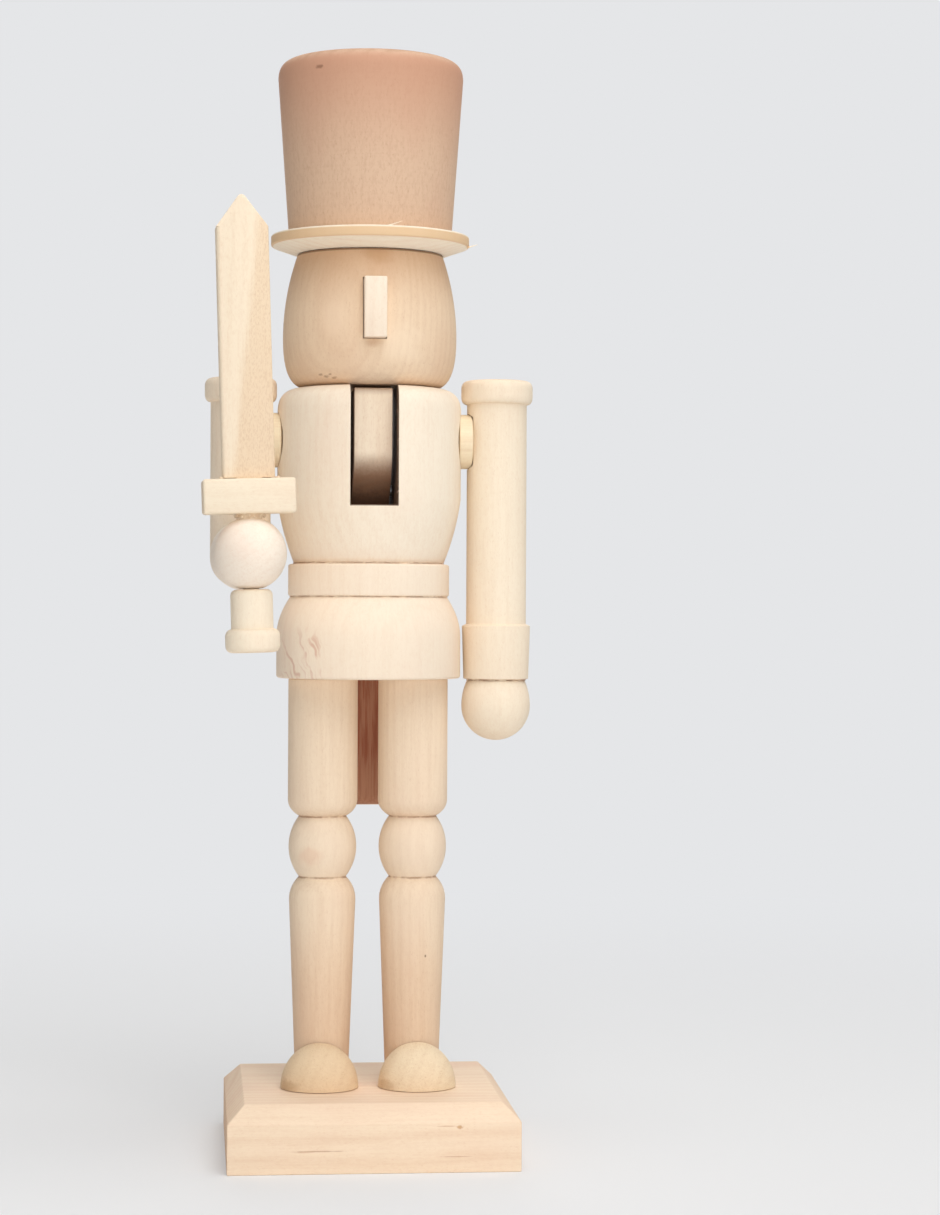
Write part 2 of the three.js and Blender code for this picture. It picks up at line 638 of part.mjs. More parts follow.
function swordBlade() {
  const foot = guardTop + GLUE_GAP;
  const half = BLADE_WIDTH / 2;
  const tang = TANG_WIDTH / 2;
  const outline = new THREE.Shape();
  outline.moveTo(-tang, foot - TANG_DEPTH);
  outline.lineTo(tang, foot - TANG_DEPTH);
  outline.lineTo(tang, foot);
  outline.lineTo(half, foot);
  outline.lineTo(half, foot + BLADE_LENGTH);
  outline.lineTo(0, foot + BLADE_LENGTH + BLADE_POINT);
  outline.lineTo(-half, foot + BLADE_LENGTH);
  outline.lineTo(-half, foot);
  outline.lineTo(-tang, foot);
  outline.closePath();
  const board = new THREE.ExtrudeGeometry(outline, { depth: BLADE_THICKNESS, bevelEnabled: false });
  return solid(board.rotateX(Math.PI / 2).translate(0, BLADE_THICKNESS / 2, 0));
}

function swordGrip() {
  const flange = gripTop - GRIP_LENGTH;
  const end = flange - POMMEL_HEIGHT;
  const profile = [
    point(0, end),
    ...curve(
      point(POMMEL_RADIUS - POMMEL_ROUND, end),
      point(POMMEL_RADIUS, end),
      point(POMMEL_RADIUS, end + POMMEL_ROUND),
    ),
    ...curve(
      point(POMMEL_RADIUS, flange - POMMEL_ROUND),
      point(POMMEL_RADIUS, flange),
      point(GRIP_RADIUS, flange),
    ),
    point(GRIP_RADIUS, gripTop),
    point(0, gripTop),
  ];
  const holeDrop = SWORD_DOWEL_DROP + GLUE_GAP;
  const hole = rod(SWORD_DOWEL_RADIUS + DOWEL_FIT, 2 * holeDrop, 0, 0, gripTop - holeDrop);
  return cut(turned(profile, ROD_FACETS), [hole]);
}

function swordDowel() {
  const low = gripTop - SWORD_DOWEL_DROP;
  const high = guardBottom + SWORD_DOWEL_RISE;
  return rod(SWORD_DOWEL_RADIUS, high - low, 0, 0, low);
}

// The scene: the figure stands on the block, and each arm hangs in a group on its shoulder axis
const nutcracker = new THREE.Group();
nutcracker.add(piece("base", baseBlock(), baseWood));

const figure = new THREE.Group();
nutcracker.add(figure);

function stand(name, shape, material, x, y, z) {
  const mesh = piece(name, shape, material);
  mesh.position.set(x, y, z);
  figure.add(mesh);
}

const ankleDowelLength = 2 * LEG_DOWEL_DEPTH + GLUE_GAP;
const neckDowelLength = 2 * NECK_DOWEL_DEPTH + GLUE_GAP;
const hatDowelLength = 2 * HAT_DOWEL_DEPTH + brimHeight + 2 * GLUE_GAP;

for (const [side, hand] of [[1, "left"], [-1, "right"]]) {
  const x = side * legX;
  const footX = x + side * FOOT_TURNOUT;
  const legDowel = rod(LEG_DOWEL_RADIUS, ankleDowelLength, 0, 0, 0);
  stand(`${hand}_leg`, leg(), paleWood, x, 0, legBottom);
  stand(`${hand}_foot`, foot(x - footX), tanWood, footX, -FOOT_REACH, legBottom);
  stand(`${hand}_ankle_dowel`, legDowel, dowelWood, x, 0, BASE_HEIGHT - LEG_DOWEL_DEPTH);
  stand(`${hand}_hip_dowel`, legDowel, dowelWood, x, 0, torsoBottom - GLUE_GAP - LEG_DOWEL_DEPTH);
  const neckDowel = rod(NECK_DOWEL_RADIUS, neckDowelLength, 0, 0, 0);
  const neckDowelFoot = torsoTop - NECK_DOWEL_DEPTH;
  stand(`${hand}_neck_dowel`, neckDowel, dowelWood, side * neckDowelX, 0, neckDowelFoot);
}
const hatDowel = rod(HAT_DOWEL_RADIUS, hatDowelLength, 0, 0, 0);
stand("torso", torso(), paleWood, 0, 0, torsoBottom);
stand("jaw_lever", jawLever(), tanWood, 0, 0, torsoBottom);
stand("jaw_pin", jawPin(), steel, 0, 0, torsoBottom);
stand("head", head(), tanWood, 0, 0, headBottom);
stand("nose", nose(0), paleWood, 0, 0, headBottom);
stand("hat_brim", hatBrim(), paleWood, 0, 0, brimBottom);
stand("hat_crown", hatCrown(), hatWood, 0, 0, crownBottom);
stand("hat_dowel", hatDowel, dowelWood, 0, 0, brimBottom - GLUE_GAP - HAT_DOWEL_DEPTH);

function shoulder(side) {
  const group = new THREE.Group();
  group.position.set(side * armX, 0, shoulderZ);
  figure.add(group);
  return group;
}

// Dowel and spacer of one shoulder, along X from inside the torso out to the arm
function shoulderFittings(group, side, hand) {
  const inner = CHEST_RADIUS - SHOULDER_DOWEL_DEPTH - armX;
  const outer = SLEEVE_RADIUS - ARM_WALL;
  const turn = [0, 0, side > 0 ? 0 : 180];
  const dowel = crossRod(SHOULDER_DOWEL_RADIUS, inner, outer, 0, 0);
  const disc = crossRod(SPACER_RADIUS, spacerInner - armX, spacerOuter - armX, 0, 0);
  const hole = crossRod(SHOULDER_DOWEL_RADIUS + DOWEL_FIT, inner, outer, 0, 0);
  group.add(piece(`${hand}_shoulder_dowel`, dowel.rotate(turn), dowelWood));
  group.add(piece(`${hand}_shoulder_spacer`, disc.subtract(hole).rotate(turn), paleWood));
}

const leftShoulder = shoulder(1);
leftShoulder.add(piece("left_arm", leftArm(), paleWood));
shoulderFittings(leftShoulder, 1, "left");

const rightShoulder = shoulder(-1);
rightShoulder.add(piece("right_upper_arm", rightUpperArm(), paleWood));
shoulderFittings(rightShoulder, -1, "right");

const elbow = new THREE.Group();
elbow.position.z = -ELBOW_DROP;
elbow.rotation.z = THREE.MathUtils.degToRad(FOREARM_TURN);
rightShoulder.add(elbow);

const forearm = piece("right_forearm", rightForearm(), paleWood);
forearm.rotation.x = -Math.PI / 2;
elbow.add(forearm);

const elbowDowel = rod(ELBOW_DOWEL_RADIUS, 2 * ELBOW_DOWEL_DEPTH, 0, 0, -ELBOW_DOWEL_DEPTH);
const elbowPeg = piece("elbow_dowel", elbowDowel, dowelWood);
elbowPeg.rotation.x = Math.PI - MITRE;
elbow.add(elbowPeg);

const sword = new THREE.Group();
sword.position.y = -FOREARM_REACH;
sword.rotation.y = THREE.MathUtils.degToRad(-SWORD_LEAN);
elbow.add(sword);
sword.add(piece("sword_guard", swordGuard(), paleWood));
sword.add(piece("sword_blade", swordBlade(), paleWood));
sword.add(piece("sword_grip", swordGrip(), paleWood));
sword.add(piece("sword_dowel", swordDowel(), dowelWood));

export default nutcracker;
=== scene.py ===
# %% [markdown]
# # A bare wooden nutcracker soldier
# The real object is a craft figure of unpainted wood: turned legs, coat, head and hat on a sawn block, with
# a jaw lever in the coat and two arms on dowels. The CAD model gives the places and the outer sizes. This
# lesson gives each visible piece a finer shape and a wood of its own, and leaves the CAD model where it is.

# %% Load the CAD frame
import math
import random

import bmesh
import bpy
from mathutils import Euler, Matrix, Vector


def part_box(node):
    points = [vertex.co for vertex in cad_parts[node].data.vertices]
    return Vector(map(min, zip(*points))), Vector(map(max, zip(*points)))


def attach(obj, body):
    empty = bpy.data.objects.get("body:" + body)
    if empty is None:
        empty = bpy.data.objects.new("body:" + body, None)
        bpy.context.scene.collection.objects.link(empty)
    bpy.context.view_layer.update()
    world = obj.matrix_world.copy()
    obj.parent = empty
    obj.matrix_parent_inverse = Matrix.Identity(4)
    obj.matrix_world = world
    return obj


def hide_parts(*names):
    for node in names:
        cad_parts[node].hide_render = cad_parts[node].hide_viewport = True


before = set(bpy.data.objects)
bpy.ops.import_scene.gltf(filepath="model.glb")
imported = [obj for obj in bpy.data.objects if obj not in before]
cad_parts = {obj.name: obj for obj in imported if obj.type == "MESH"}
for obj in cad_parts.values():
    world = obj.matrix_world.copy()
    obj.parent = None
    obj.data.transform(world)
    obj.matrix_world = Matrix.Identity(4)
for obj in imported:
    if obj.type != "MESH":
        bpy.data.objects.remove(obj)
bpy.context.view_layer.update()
scene = bpy.context.scene
scene.view_settings.view_transform = "Standard"

# %% [markdown]
# ## Millimetres
# Blender works in metres, and a woodturner in millimetres. Every size of a piece below is in millimetres,
# and becomes metres only where a mesh is made. The CAD nodes' own corners give the places.

# %% Read a node's place
MM = 0.001


def corners(node):
    """A CAD node's lowest and highest corners, in millimetres."""
    low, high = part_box(node)
    return low / MM, high / MM


def middle_of(node):
    low, high = corners(node)
    return (low + high) / 2


axis_x, axis_y, _ = middle_of("torso")
print("the figure's axis stands at", round(axis_x, 3), round(axis_y, 3))

# %% [markdown]
# ## The camera
# The photograph was taken from a little over half a metre, so near things look larger. A lens that is too
# long would flatten the base. The place, turn and lens were fitted to the base, the brim and the legs.

# %% Set up the camera
PHOTO_HEIGHT = 1215
FOCAL_PIXELS = 2885.7
EYE = Vector((-37.3, -615, 115.2)) * MM
EYE_TURN = math.radians(-5.485)
EYE_TILT = math.radians(-0.009)
EYE_ROLL = math.radians(-0.264)

lens = bpy.data.cameras.new("photo_camera")
lens.lens = FOCAL_PIXELS * lens.sensor_width / PHOTO_HEIGHT
camera = bpy.data.objects.new("photo_camera", lens)
scene.collection.objects.link(camera)
aim = Matrix.Rotation(EYE_TURN, 4, "Z") @ Matrix.Rotation(EYE_TILT, 4, "X")
aim = aim @ Matrix.Rotation(EYE_ROLL, 4, "Y") @ Matrix.Rotation(math.pi / 2, 4, "X")
camera.matrix_world = Matrix.Translation(EYE) @ aim
scene.camera = camera
print("lens", round(lens.lens, 2), "mm")

# %% [markdown]
# ## Soft light
# Pale wood shows its shape when a broad light comes from high over the viewer's right shoulder and another
# from overhead. A weak one low in front lightens the undersides, and one behind keeps the back readable.
# Small lamps would make hard black edges. The lamps are hidden from the camera, so no view shows them.

# %% Hang the lamps
FIGURE_MIDDLE = Vector((0, 0, 0.115))


def soft_box(name, place, size, power):
    """A square area lamp at a place in metres, facing the middle of the figure."""
    lamp = bpy.data.lights.new(name, "AREA")
    lamp.size = size
    lamp.energy = power
    holder = bpy.data.objects.new(name, lamp)
    holder.location = place
    holder.rotation_euler = (FIGURE_MIDDLE - holder.location).to_track_quat("-Z", "Y").to_euler()
    holder.visible_camera = False
    scene.collection.objects.link(holder)


soft_box("high_front_light", (0.19, -0.92, 0.95), 0.85, 6.7)
soft_box("low_front_light", (0.06, -0.80, 0.05), 0.32, 1.42)
soft_box("overhead_light", (0.14, -0.15, 1.20), 0.8, 6.3)
soft_box("back_light", (0.02, 1.10, 0.60), 0.8, 3.2)

sky = bpy.data.worlds.new("studio_air")
sky.use_nodes = True
air = sky.node_tree.nodes["Background"].inputs
air["Color"].default_value = (1, 0.99, 0.975, 1)
air["Strength"].default_value = 0.18
scene.world = sky

# %% [markdown]
# ## Shader sums
# A finish is a network of nodes. Wiring them by hand hides the idea, so a small class stands for one output
# socket and turns + - * / and ** into Math nodes. Another holds the material and makes any other node.

# %% Write shader sums as Python


class Signal:
    """One output of a finish. Sums on it add Math nodes."""

    def __init__(self, finish, socket):
        self.finish = finish
        self.socket = socket

    def sum(self, operation, *others):
        return self.finish.node("ShaderNodeMath", {"operation": operation}, dict(enumerate([self, *others])))

    def __add__(self, other):
        return self.sum("ADD", other)

    def __sub__(self, other):
        return self.sum("SUBTRACT", other)

    def __rsub__(self, other):
        return self.finish.node("ShaderNodeMath", {"operation": "SUBTRACT"}, {0: other, 1: self})

    def __mul__(self, other):
        return self.sum("MULTIPLY", other)

    def __truediv__(self, other):
        return self.sum("DIVIDE", other)

    def __pow__(self, other):
        return self.sum("POWER", other)

    __radd__ = __add__
    __rmul__ = __mul__


class Finish:
    """A material being laid out."""

    def __init__(self, name):
        self.material = bpy.data.materials.new(name)
        self.material.use_nodes = True
        self.tree = self.material.node_tree
        self.tree.nodes.clear()
        self.object_place = self.node("ShaderNodeTexCoord", output="Object")
        self.millimetres = self.vector("MULTIPLY", self.object_place, (1 / MM,) * 3)

    def node(self, kind, settings=None, sockets=None, output=0):
        """Adds a node: its settings first, then the values or links of its sockets."""
        made = self.tree.nodes.new(kind)
        for name, value in (settings or {}).items():
            setattr(made, name, value)
        for name, value in (sockets or {}).items():
            if isinstance(value, Signal):
                self.tree.links.new(value.socket, made.inputs[name])
            else:
                made.inputs[name].default_value = value
        return Signal(self, made.outputs[output])

    def vector(self, operation, first, second=(0, 0, 0), output=0):
        return self.node("ShaderNodeVectorMath", {"operation": operation}, {0: first, 1: second}, output)

    def length(self, first):
        return self.vector("LENGTH", first, output="Value")

    def mix(self, share, first, second):
        """One colour laid over another by a share."""
        return self.node("ShaderNodeMix", {"data_type": "RGBA"}, {0: share, 6: first, 7: second}, 2)

    def step(self, value, low, high):
        """0 below low, 1 above high, with a smooth rise between."""
        sockets = {"Value": value, "From Min": low, "From Max": high}
        return self.node("ShaderNodeMapRange", {"interpolation_type": "SMOOTHSTEP"}, sockets)

    def noise(self, place, detail=2, roughness=0.5, output=0):
        sockets = {"Vector": place, "Scale": 1, "Detail": detail, "Roughness": roughness}
        return self.node("ShaderNodeTexNoise", None, sockets, output)

    def speckle(self, scales, detail=2):
        """Noise over the object, with its scales per millimetre."""
        return self.noise(self.vector("MULTIPLY", self.millimetres, scales), detail)

    def finish(self, shader):
        """Ends the material with a shader."""
        end = self.tree.nodes.new("ShaderNodeOutputMaterial")
        self.tree.links.new(shader.socket, end.inputs["Surface"])
        return self.material


def colour(red, green, blue):
    """A colour as seen on a screen, 0 to 255, as the linear values that a shader takes."""
    linear = []
    for level in (red / 255, green / 255, blue / 255):
        linear.append(level / 12.92 if level <= 0.04045 else ((level + 0.055) / 1.055) ** 2.4)
    return (*linear, 1)


print("shader sums ready, mid grey is", round(colour(188, 188, 188)[0], 3))

# %% [markdown]
# ## Wood
# A tree grows a ring each year, pale in spring and darker in summer, round its pith. A turned piece is cut
# out of those rings, so one solid pattern gives lines, ovals or arcs, depending on where the surface cuts
# it. A flat stripe picture would look wrong on the ends, so the finish works in three dimensions: the
# distance from the pith gives the rings, noise drawn out along the grain gives fibres and pores, and cut
# ends are a little darker. Sanding lifts a fuzz of short hairs. This wood is fine and pale, so all of it is
# weak.

# %% Lay out a wood
GRAIN_TURN = {"X": (0, -math.pi / 2), "Y": (math.pi / 2, 0), "Z": (0, 0)}
RING_DRIFT = 5
FIBRE_BUMP = 0.12


class Wood(Finish):
    """Bare wood with its grain along an axis. Its pith lies across the grain from a node's middle."""

    def __init__(
        self, name, node, pale, dark, grain="Z", pith=(45, 30), lean=(0, 0), ring=1.7, rings=0.1, fibres=0.3,
        pores=0.15, fuzz=0.34, clouds=0.25, blush=(236, 200, 174), ends=0.15, bump=0.3,
    ):
        super().__init__(name)
        self.nodes = [node]
        self.bump = bump
        turn = Euler((GRAIN_TURN[grain][0] + lean[0], GRAIN_TURN[grain][1] + lean[1], 0))
        offset = turn.to_matrix() @ -middle_of(node) - Vector((*pith, 0))
        mapping = {"Vector": self.object_place, "Location": offset, "Rotation": turn, "Scale": (1 / MM,) * 3}
        self.place = self.node("ShaderNodeMapping", None, mapping)
        drift = self.vector("SUBTRACT", self.noise(self.stretch(0.05, 0.012), output=1), (0.5, 0.5, 0.5))
        drift = self.vector("MULTIPLY", drift, (RING_DRIFT, RING_DRIFT, 0))
        across = self.vector("MULTIPLY", self.vector("ADD", self.place, drift), (1, 1, 0))
        years = self.length(across) / ring
        vigour = self.noise(self.node("ShaderNodeCombineXYZ", None, {"X": years * 0.37}), 1)
        self.late = (0.5 + 0.5 * (years * 2 * math.pi).sum("SINE")) ** 1.6 * (vigour * 1.6 - 0.2)
        self.fibre = self.noise(self.stretch(1.6, 0.07), 4, 0.62)
        pore = self.step(self.noise(self.stretch(4.4, 1.5)), 0.57, 0.73)
        hairs = self.noise(self.stretch(1.9, 0.8), 3, 0.6)
        cloud = self.step(self.noise(self.stretch(0.07, 0.03), 3), 0.42, 0.72)
        end = self.step(self.facing(grain).sum("ABSOLUTE"), 0.55, 0.98)
        depth = self.late * rings + (self.fibre - 0.42) * fibres + pore * pores + end * ends
        depth = depth + (hairs - 0.5) * fuzz
        self.tone = self.mix(depth, colour(*pale), colour(*dark))
        self.lay(cloud * clouds, blush)
        self.relief = self.fibre * 0.6 + self.late * 0.2 - pore * 0.5
        self.dull = 0.60 + self.fibre * 0.14 + end * 0.06

    def stretch(self, across, along):
        """The place in the wood, drawn out along the grain."""
        return self.vector("MULTIPLY", self.place, (across, across, along))

    def lay(self, share, shade):
        """Lays a shade over the wood by a share."""
        self.tone = self.mix(share, self.tone, colour(*shade))

    def stain(self, place, reach, shade, share, ragged=0.5, scale=0.9):
        """A soft mark with its middle and its half sizes in millimetres, and an edge broken up by noise."""
        offset = self.vector("DIVIDE", self.vector("SUBTRACT", self.millimetres, place), reach)
        edge = self.speckle((scale,) * 3, 3) - 0.5
        self.lay((1 - self.step(self.length(offset) + edge * ragged, 0.35, 1)) * share, shade)

    def facing(self, axis):
        """How far the surface faces along an axis, from -1 to 1."""
        normal = self.node("ShaderNodeTexCoord", output="Normal")
        return self.node("ShaderNodeSeparateXYZ", None, {"Vector": normal}, axis)

    def part(self, axis):
        """The place along one axis of the object, in millimetres."""
        return self.node("ShaderNodeSeparateXYZ", None, {"Vector": self.millimetres}, axis)

    def rise(self, axis, low, high):
        """0 below one place along an axis and 1 above another."""
        return self.step(self.part(axis), low, high)

    def window(self, axis, low, high, soft=0.4):
        """1 between two places along an axis, with soft ends."""
        return self.rise(axis, low - soft, low + soft) * (1 - self.rise(axis, high - soft, high + soft))

    def seal(self):
        """Ends the finish: base colour, roughness and the bump of the fibres."""
        bump = {"Strength": self.bump, "Distance": FIBRE_BUMP * MM, "Height": self.relief}
        sockets = {"Base Color": self.tone, "Roughness": self.dull, "Specular IOR Level": 0.22}
        sockets["Normal"] = self.node("ShaderNodeBump", None, bump)
        return self.finish(self.node("ShaderNodeBsdfPrincipled", None, sockets))


print("wood grain axes:", sorted(GRAIN_TURN))

# %% [markdown]
# ## The floor
# A pale floor that rises into a round wall has no corner to see, from any side. It is one line, spun about
# the middle. Away from the figure it shows its plain paper colour to the camera, so that no lamp has to
# light it, and near the figure it takes light and shadow as paper does.

# %% Lay out the paper
SHADOW_NEAR = 80
SHADOW_FAR = 550

studio = Finish("studio_floor")
paper = studio.mix(studio.speckle((0.004,) * 3) * 0.3, colour(240, 240, 240), colour(235, 235, 236))
paper = studio.node("ShaderNodeBsdfPrincipled", None, {"Base Color": paper, "Roughness": 0.9})
glow = studio.node("ShaderNodeEmission", None, {"Color": colour(229, 230, 232), "Strength": 1})
seen = 0
for kind in ("Camera", "Glossy", "Transmission"):
    seen = studio.node("ShaderNodeLightPath", output="Is " + kind + " Ray").sum("MAXIMUM", seen)
far = studio.step(studio.length(studio.millimetres), SHADOW_NEAR, SHADOW_FAR)
backdrop = studio.node("ShaderNodeMixShader", None, {0: seen * (0.25 + 0.75 * far), 1: paper, 2: glow})
print("paper nodes:", len(studio.tree.nodes))

# %% Spin the floor
FLOOR_REACH = 1900
FLOOR_RISE = 900
FLOOR_STEPS = 64
CURVE_STEPS = 12
SAME_PLACE = 0.001 * MM


def quarter_round(radius, out, up):
    """A quarter circle about a middle, from its lowest point to its outermost one."""
    points = []
    for step in range(CURVE_STEPS + 1):
        angle = math.pi / 2 * step / CURVE_STEPS
        points.append((out + radius * math.sin(angle), up - radius * math.cos(angle)))
    return points


def spun(outline, steps):
    """Spins a line of (radius, height) points once round Z."""
    shape = bmesh.new()
    points = [shape.verts.new((radius * MM, 0, height * MM)) for radius, height in outline]
    for pair in zip(points, points[1:]):
        shape.edges.new(pair)
    line = shape.verts[:] + shape.edges[:]
    bmesh.ops.spin(
        shape, geom=line, axis=(0, 0, 1), cent=(0, 0, 0), angle=2 * math.pi, steps=steps, use_merge=True
    )
    bmesh.ops.remove_doubles(shape, verts=shape.verts, dist=SAME_PLACE)
    bmesh.ops.recalc_face_normals(shape, faces=shape.faces)
    return shape


def as_object(name, shape):
    """Makes a shape an object of the scene."""
    mesh = bpy.data.meshes.new(name)
    shape.to_mesh(mesh)
    shape.free()
    made = bpy.data.objects.new(name, mesh)
    scene.collection.objects.link(made)
    return made


floor_line = [(0, 0), *quarter_round(FLOOR_RISE, FLOOR_REACH - FLOOR_RISE, FLOOR_RISE)]
floor = as_object("studio_floor", spun(floor_line, FLOOR_STEPS))
floor.data.shade_smooth()
floor.data.materials.append(studio.finish(backdrop))
print("floor faces:", len(floor.data.polygons))

# %% [markdown]
# ## Outlines
# A turned piece is drawn as half of its side view. Straight cuts are points, swells are smooth curves, and
# a corner that sandpaper has eased is a small arc. A third number on a point is the radius of that arc.

# %% Draw outlines
ARC_STEPS = 4
EASE = 0.3


def swell(start, control, end):
    """Points on a smooth curve from start to end that leans towards control."""
    points = []
    for step in range(CURVE_STEPS + 1):
        share = step / CURVE_STEPS
        weights = ((1 - share) ** 2, 2 * share * (1 - share), share ** 2)
        points.append(tuple(sum(w * p[i] for w, p in zip(weights, (start, control, end))) for i in (0, 1)))
    return points


def top_round(radius, height, size):
    """A rounded corner from a turned piece's side to its top."""
    return swell((radius, height - size), (radius, height), (radius - size, height))


def eased(outline):
    """The outline with each corner that names a radius turned into an arc."""
    points = []
    for place, corner in enumerate(outline):
        here = Vector(corner[:2])
        if len(corner) == 2:
            points.append(here)
            continue
        back = (Vector(outline[place - 1][:2]) - here).normalized()
        ahead = (Vector(outline[(place + 1) % len(outline)][:2]) - here).normalized()
        half = back.angle(ahead) / 2
        middle = here + (back + ahead).normalized() * corner[2] / math.sin(half)
        spoke = here + back * corner[2] / math.tan(half) - middle
        turn = math.pi - 2 * half
        if back.x * ahead.y - back.y * ahead.x > 0:
            turn = -turn
        for step in range(ARC_STEPS + 1):
            points.append(middle + Matrix.Rotation(turn * step / ARC_STEPS, 2) @ spoke)
    return points


print("points of an eased corner:", len(eased([(0, 1), (1, 1, EASE), (1, 0)])) - 2)

# %% [markdown]
# ## Turning and sawing
# Spin turns an outline round Z as a lathe does. Extrude saws a flat outline out of a board. Bevel with three
# segments is sandpaper on an edge, and with one segment it is a chamfer.

# %% Tools of the workshop
BODY_STEPS = 128
LIMB_STEPS = 96


def turned(outline, steps=LIMB_STEPS):
    """Turns an outline of (radius, height) points, from the lower end up, and cuts both ends flat."""
    return spun(eased([(0, outline[0][1]), *outline, (0, outline[-1][1])]), steps)


def sawn(outline, thickness):
    """Saws an outline of (y, z) points out of a board that is thickness wide along X."""
    shape = bmesh.new()
    points = [shape.verts.new((-thickness / 2 * MM, y * MM, z * MM)) for y, z in eased(outline)]
    saw_line = [shape.edges.new(pair) for pair in zip(points, points[1:] + points[:1])]
    board = bmesh.ops.edgeloop_fill(shape, edges=saw_line)["faces"]
    grown = bmesh.ops.extrude_face_region(shape, geom=board)["geom"]
    far = [part for part in grown if isinstance(part, bmesh.types.BMVert)]
    bmesh.ops.translate(shape, verts=far, vec=(thickness * MM, 0, 0))
    bmesh.ops.recalc_face_normals(shape, faces=shape.faces)
    return shape


def block(low, high):
    """A sawn block between two corners."""
    shape = bmesh.new()
    bmesh.ops.create_cube(shape, size=1)
    bmesh.ops.scale(shape, verts=shape.verts, vec=(high - low) * MM)
    bmesh.ops.translate(shape, verts=shape.verts, vec=(low + high) / 2 * MM)
    return shape


def move(shape, place=(0, 0, 0), turn=0, about="X"):
    """Turns a shape about an axis through the origin, then moves it to a place in millimetres."""
    bmesh.ops.rotate(shape, verts=shape.verts, cent=(0, 0, 0), matrix=Matrix.Rotation(turn, 3, about))
    bmesh.ops.translate(shape, verts=shape.verts, vec=Vector(place) * MM)
    return shape


def soften(shape, size, chosen=None, segments=3):
    """Bevels the chosen edges, or all of them."""
    edges = shape.edges[:] if chosen is None else chosen
    bmesh.ops.bevel(
        shape, geom=edges, offset=size * MM, affect="EDGES", segments=segments, profile=0.5, material=-1
    )
    return shape


def slice_off(shape, point, outward):
    """Saws off what lies beyond a plane and closes the cut."""
    geometry = shape.verts[:] + shape.edges[:] + shape.faces[:]
    place = Vector(point) * MM
    sliced = bmesh.ops.bisect_plane(
        shape, geom=geometry, dist=SAME_PLACE / 10, plane_co=place, plane_no=outward, clear_outer=True
    )
    rim = [part for part in sliced["geom_cut"] if isinstance(part, bmesh.types.BMEdge)]
    bmesh.ops.holes_fill(shape, edges=rim)
    bmesh.ops.recalc_face_normals(shape, faces=shape.faces)
    return shape


print("tools:", [tool.__name__ for tool in (turned, sawn, block, move, soften, slice_off)])

# %% [markdown]
# ## Drilling and placing
# A hole is where a drill has been, so a round rod is taken out of the piece. The Boolean modifier does it,
# and its result is read back at once, so that no tool is left in the scene. A finished piece then rides on
# a body of the CAD model and stands for a node.

# %% Drill and place
THROUGH = 80
SHARP_ANGLE = math.radians(38)


def drill(radius, length, place, turn=math.pi / 2, facets=96):
    """A round rod about a place, along X, or along Z with no turn."""
    shape = bmesh.new()
    size = radius * MM
    bmesh.ops.create_cone(
        shape, cap_ends=True, segments=facets, radius1=size, radius2=size, depth=length * MM
    )
    return move(shape, place, turn, "Y")


def cut(blank, tools):
    """Takes the tools' shapes out of the blank."""
    body = as_object("blank", blank)
    cutters = [as_object("tool", tool) for tool in tools]
    for cutter in cutters:
        modifier = body.modifiers.new("cut", "BOOLEAN")
        modifier.operation = "DIFFERENCE"
        modifier.solver = "EXACT"
        modifier.object = cutter
    result = bmesh.new()
    result.from_object(body, bpy.context.evaluated_depsgraph_get())
    for used in [body, *cutters]:
        mesh = used.data
        bpy.data.objects.remove(used)
        bpy.data.meshes.remove(mesh)
    bmesh.ops.remove_doubles(result, verts=result.verts, dist=SAME_PLACE)
    return result


def place_piece(name, shape, material, nodes, body="figure"):
    """Makes a shape a piece that rides on a body and stands for CAD nodes."""
    made = as_object(name, shape)
    made.data.materials.append(material)
    made.data.shade_smooth()
    made.data.set_sharp_from_angle(angle=SHARP_ANGLE)
    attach(made, body)
    if nodes:
        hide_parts(*nodes)
    size = (Vector(made.bound_box[6]) - Vector(made.bound_box[0])) / MM
    print(name, "faces", len(made.data.polygons), "size", [round(side, 2) for side in size])


def place_wood(name, shape, wood, body="figure"):
    """Places a piece that stands for the node its wood was laid out for."""
    place_piece(name, shape, wood.seal(), wood.nodes, body)


print("sharp edges begin at", round(math.degrees(SHARP_ANGLE)), "degrees")

# %% [markdown]
# ## Torn fibres
# A dull cutter lifts fibres instead of slicing them, so the cuts of a cheap figure are hairy. Painting them
# would leave the outline clean, so each fibre is a thin tapered splinter of a few faces, rooted in the wood.
# Their places are drawn by chance from a fixed seed, so that each run gives the same ones.

# %% Raise splinters
chance = random.Random(20)


def splinter(shape, root, tip, width):
    """Adds a thin tapered splinter from a root inside the wood to its tip."""
    root, tip = Vector(root), Vector(tip)
    place = Matrix.Translation((root + tip) / 2 * MM)
    place = place @ (tip - root).to_track_quat("Z", "Y").to_matrix().to_4x4()
    bmesh.ops.create_cone(
        shape, cap_ends=True, segments=5, radius1=width * MM, radius2=width * 0.2 * MM,
        depth=(tip - root).length * MM, matrix=place,
    )


def torn_ring(shape, middle_x, radius, height, count, longest):
    """Adds splinters that lie along a parting cut round a turned piece and bridge it here and there."""
    for _ in range(count):
        angle = chance.uniform(0, 2 * math.pi)
        turn = chance.uniform(0.3, 1) * longest / radius * chance.choice((-1, 1))
        ends = []
        for bearing, out in ((angle, radius - 0.12), (angle + turn, radius + 0.02)):
            up = height + chance.uniform(-0.16, 0.16)
            ends.append((middle_x + out * math.cos(bearing), axis_y + out * math.sin(bearing), up))
        splinter(shape, *ends, chance.uniform(0.08, 0.17))


print("first draw:", round(chance.random(), 3))

# %% [markdown]
# ## The base
# The block is sawn, with its grain across the front, and its upper edge is planed off all round: a bevel of
# one segment. A second, tiny bevel breaks every edge. The saw left fibres along the lower front edge, and
# a small brown knot and a few dark streaks show on the front. The end grain at the sides is browner.

